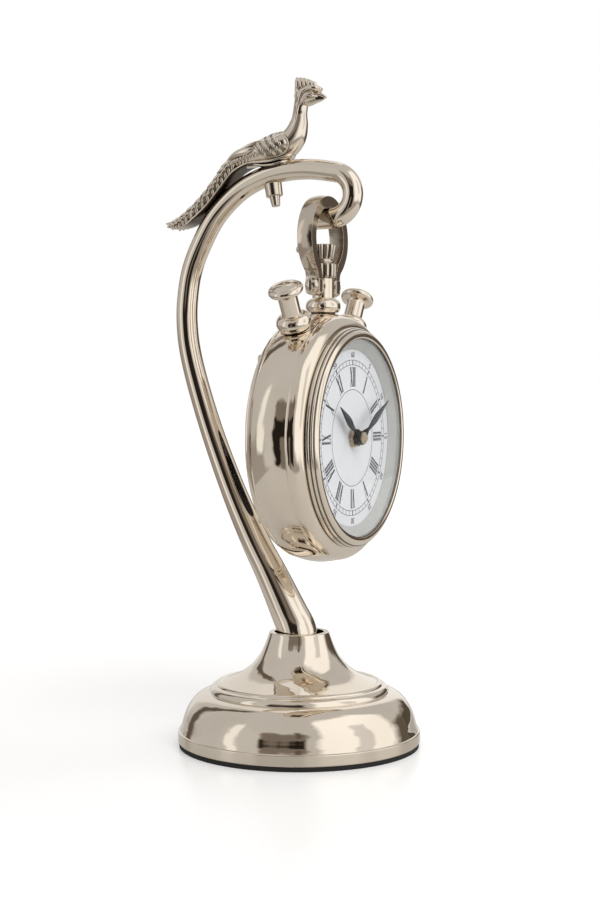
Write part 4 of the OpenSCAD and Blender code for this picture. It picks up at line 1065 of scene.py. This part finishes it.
piece("bird_casting", bird_shape(), cast_nickel, "stand", ["peacock"], 50)
stud = joined(turned([[0, -18.6], [2.4, -18.6], [3.2, -12.7], [0, -12.7]], 64),
              turned([[0, -12.8], [3, -12.8], [3, 12.6], [0, 12.6]], 64))
piece("bird_stud", placed(stud, on_arch), trim_nickel, "stand", ["peacock_stud"])
nut = turned([[3, -12.8], [4.9, -12.8], [5.2, -5.2], [3, -5.2]], 96, 0.4)
piece("bird_nut", placed(nut, on_arch), trim_nickel, "stand", ["peacock_nut"])

# The dial's print and the hands

RING_R, HOUR_R, TRACK_IN, TRACK_OUT, NUMBER_R = 27.35, 34.5, 41.3, 44, 46.9
INK_H = 0.05
HOUR_LEVEL, MINUTE_LEVEL, HAND_T = 37.4, 39.3, 0.5
# The Roman figures: width, and strokes [x, end, x, end, width], where the ends are 1 at the head and -1 at the foot
FIGURE_HALF = 5.3
HEAD_SERIFS = ((-1.85, 1, -0.2, 1, 0.32), (0.6, 1, 1.85, 1, 0.32))
FOOT_SERIFS = ((-1.85, -1, -0.4, -1, 0.32), (0.3, -1, 1.85, -1, 0.32))
FIGURES = {
    "I": (1.9, ((-0.25, -1, -0.25, 1, 0.85), (0.52, -1, 0.52, 1, 0.28), (-0.85, 1, 0.85, 1, 0.32),
                (-0.85, -1, 0.85, -1, 0.32))),
    "V": (3.7, ((-1.35, 1, 0, -1, 0.85), (-0.6, 1, 0.7, -1, 0.28), (1.3, 1, 0.1, -1, 0.34)) + HEAD_SERIFS),
    "X": (4.0, ((-1.35, 1, 1.05, -1, 0.85), (-0.6, 1, 1.75, -1, 0.28), (1.3, 1, -1.15, -1, 0.34))
          + HEAD_SERIFS + FOOT_SERIFS),
}


def clockwise(degrees):
    """The matrix that turns rows [x, y] clockwise as seen from the front."""
    c, s = math.cos(math.radians(degrees)), math.sin(math.radians(degrees))
    return np.array([[c, -s], [s, c]])


def bars(a, b, width):
    """Flat bars from a to b in the dial's plane, each a closed box of eight corners."""
    d = b - a
    n = unit(np.stack([-d[:, 1], d[:, 0]], 1)) * width[:, None] / 2
    flat = np.stack([a - n, b - n, b + n, a + n], 1)
    P = np.concatenate([np.pad(flat, ((0, 0), (0, 0), (0, 1)), constant_values=z) for z in (0, INK_H)], 1)
    one = np.array([[3, 2, 1, 0], [4, 5, 6, 7], [0, 1, 5, 4], [1, 2, 6, 5], [2, 3, 7, 6], [3, 0, 4, 7]])
    quads = (one[None] + 8 * np.arange(len(a))[:, None, None]).reshape(-1, 4)
    return outward(P.reshape(-1, 3), quads, np.zeros((0, 3), int))


def hour_numeral(text, hour):
    """A Roman numeral upright on its radius: each thick stroke is a bar with a thin line beside it, with serifs."""
    at, strokes = -sum(FIGURES[c][0] for c in text) / 2, []
    for c in text:
        wide, lines = FIGURES[c]
        m = at + wide / 2
        strokes += [(m + x0, FIGURE_HALF * y0, m + x1, FIGURE_HALF * y1, width) for x0, y0, x1, y1, width in lines]
        at += wide
    strokes = np.array(strokes)
    a, b = ((strokes[:, i:i + 2] + [0, HOUR_R]) @ clockwise(30 * hour) for i in (0, 2))
    return bars(a, b, strokes[:, 4])


def small_number(value, angle):
    """A small upright number outside the minute track, from Blender's plain letters, made a mesh first."""
    text = bpy.data.curves.new("number", "FONT")
    text.body, text.size, text.align_x, text.align_y, text.extrude = str(value), 4.5, "CENTER", "CENTER", 0.02
    text.offset = 0.07
    thing = bpy.data.objects.new("number", text)
    scene.collection.objects.link(thing)
    mesh = bpy.data.meshes.new_from_object(thing.evaluated_get(bpy.context.evaluated_depsgraph_get()))
    mesh.calc_loop_triangles()
    points, tris = np.zeros(len(mesh.vertices) * 3), np.zeros(len(mesh.loop_triangles) * 3, np.int32)
    mesh.vertices.foreach_get("co", points)
    mesh.loop_triangles.foreach_get("vertices", tris)
    for data, owner in ((thing, bpy.data.objects), (text, bpy.data.curves), (mesh, bpy.data.meshes)):
        owner.remove(data)
    points = points.reshape(-1, 3) + [0, NUMBER_R, 0.02]
    points[:, :2] = points[:, :2] @ clockwise(angle)
    return outward(points, np.zeros((0, 4), int), tris.reshape(-1, 3))


def print_shape():
    """The black print: thin ring, hour numerals, minute track with its ticks, and the small minute numbers."""
    t = np.radians(np.arange(0, 360, 6))
    spoke = np.stack([np.sin(t), np.cos(t)], 1)
    parts = []
    for r, half in ((RING_R, 0.16), (TRACK_IN, 0.15), (TRACK_OUT, 0.15)):
        parts.append(turned([[r - half, 0], [r + half, 0], [r + half, INK_H], [r - half, INK_H]], 240, 0))
    parts.append(bars(spoke * TRACK_IN, spoke * TRACK_OUT, np.where(np.arange(60) % 5, 0.3, 0.95)))
    for hour, text in enumerate("XII I II III IIII V VI VII VIII IX X XI".split()):
        parts += [hour_numeral(text, hour), small_number(5 * hour or 60, 30 * hour)]
    return placed(joined(*parts), lambda p: on_dial(p + [0, 0, DIAL_FACE]))


def hand_shape(length, width, eye, level, angle):
    """A leaf-shaped hand: a round eye, a stem that widens to the belly at 0.52 of its length, and the point."""
    half = width / 2
    side = smooth([[0.85, 3], [0.8, length * 0.16], [1.1, length * 0.26], [half * 0.86, length * 0.42],
                   [half, length * 0.52], [half * 0.9, length * 0.62], [half * 0.45, length * 0.82], [0.12, length]], 6)
    a = np.radians(np.linspace(70, -250, 49))
    ring = eye * np.stack([np.cos(a), np.sin(a)], 1)
    outline = np.vstack([ring, (side * [-1, 1])[1:], side[-2:0:-1]])
    return placed(extruded(outline @ clockwise(angle), level, level + HAND_T, 0.08), on_dial)


piece("dial_print", print_shape(), ink, "clock", sharp=30)
piece("hour_blade", hand_shape(31, 5.4, 4.4, HOUR_LEVEL, -55), hand_paint, "hour", ["hour_hand"])
piece("minute_blade", hand_shape(42, 4.8, 4, MINUTE_LEVEL, 60), hand_paint, "minute", ["minute_hand"])
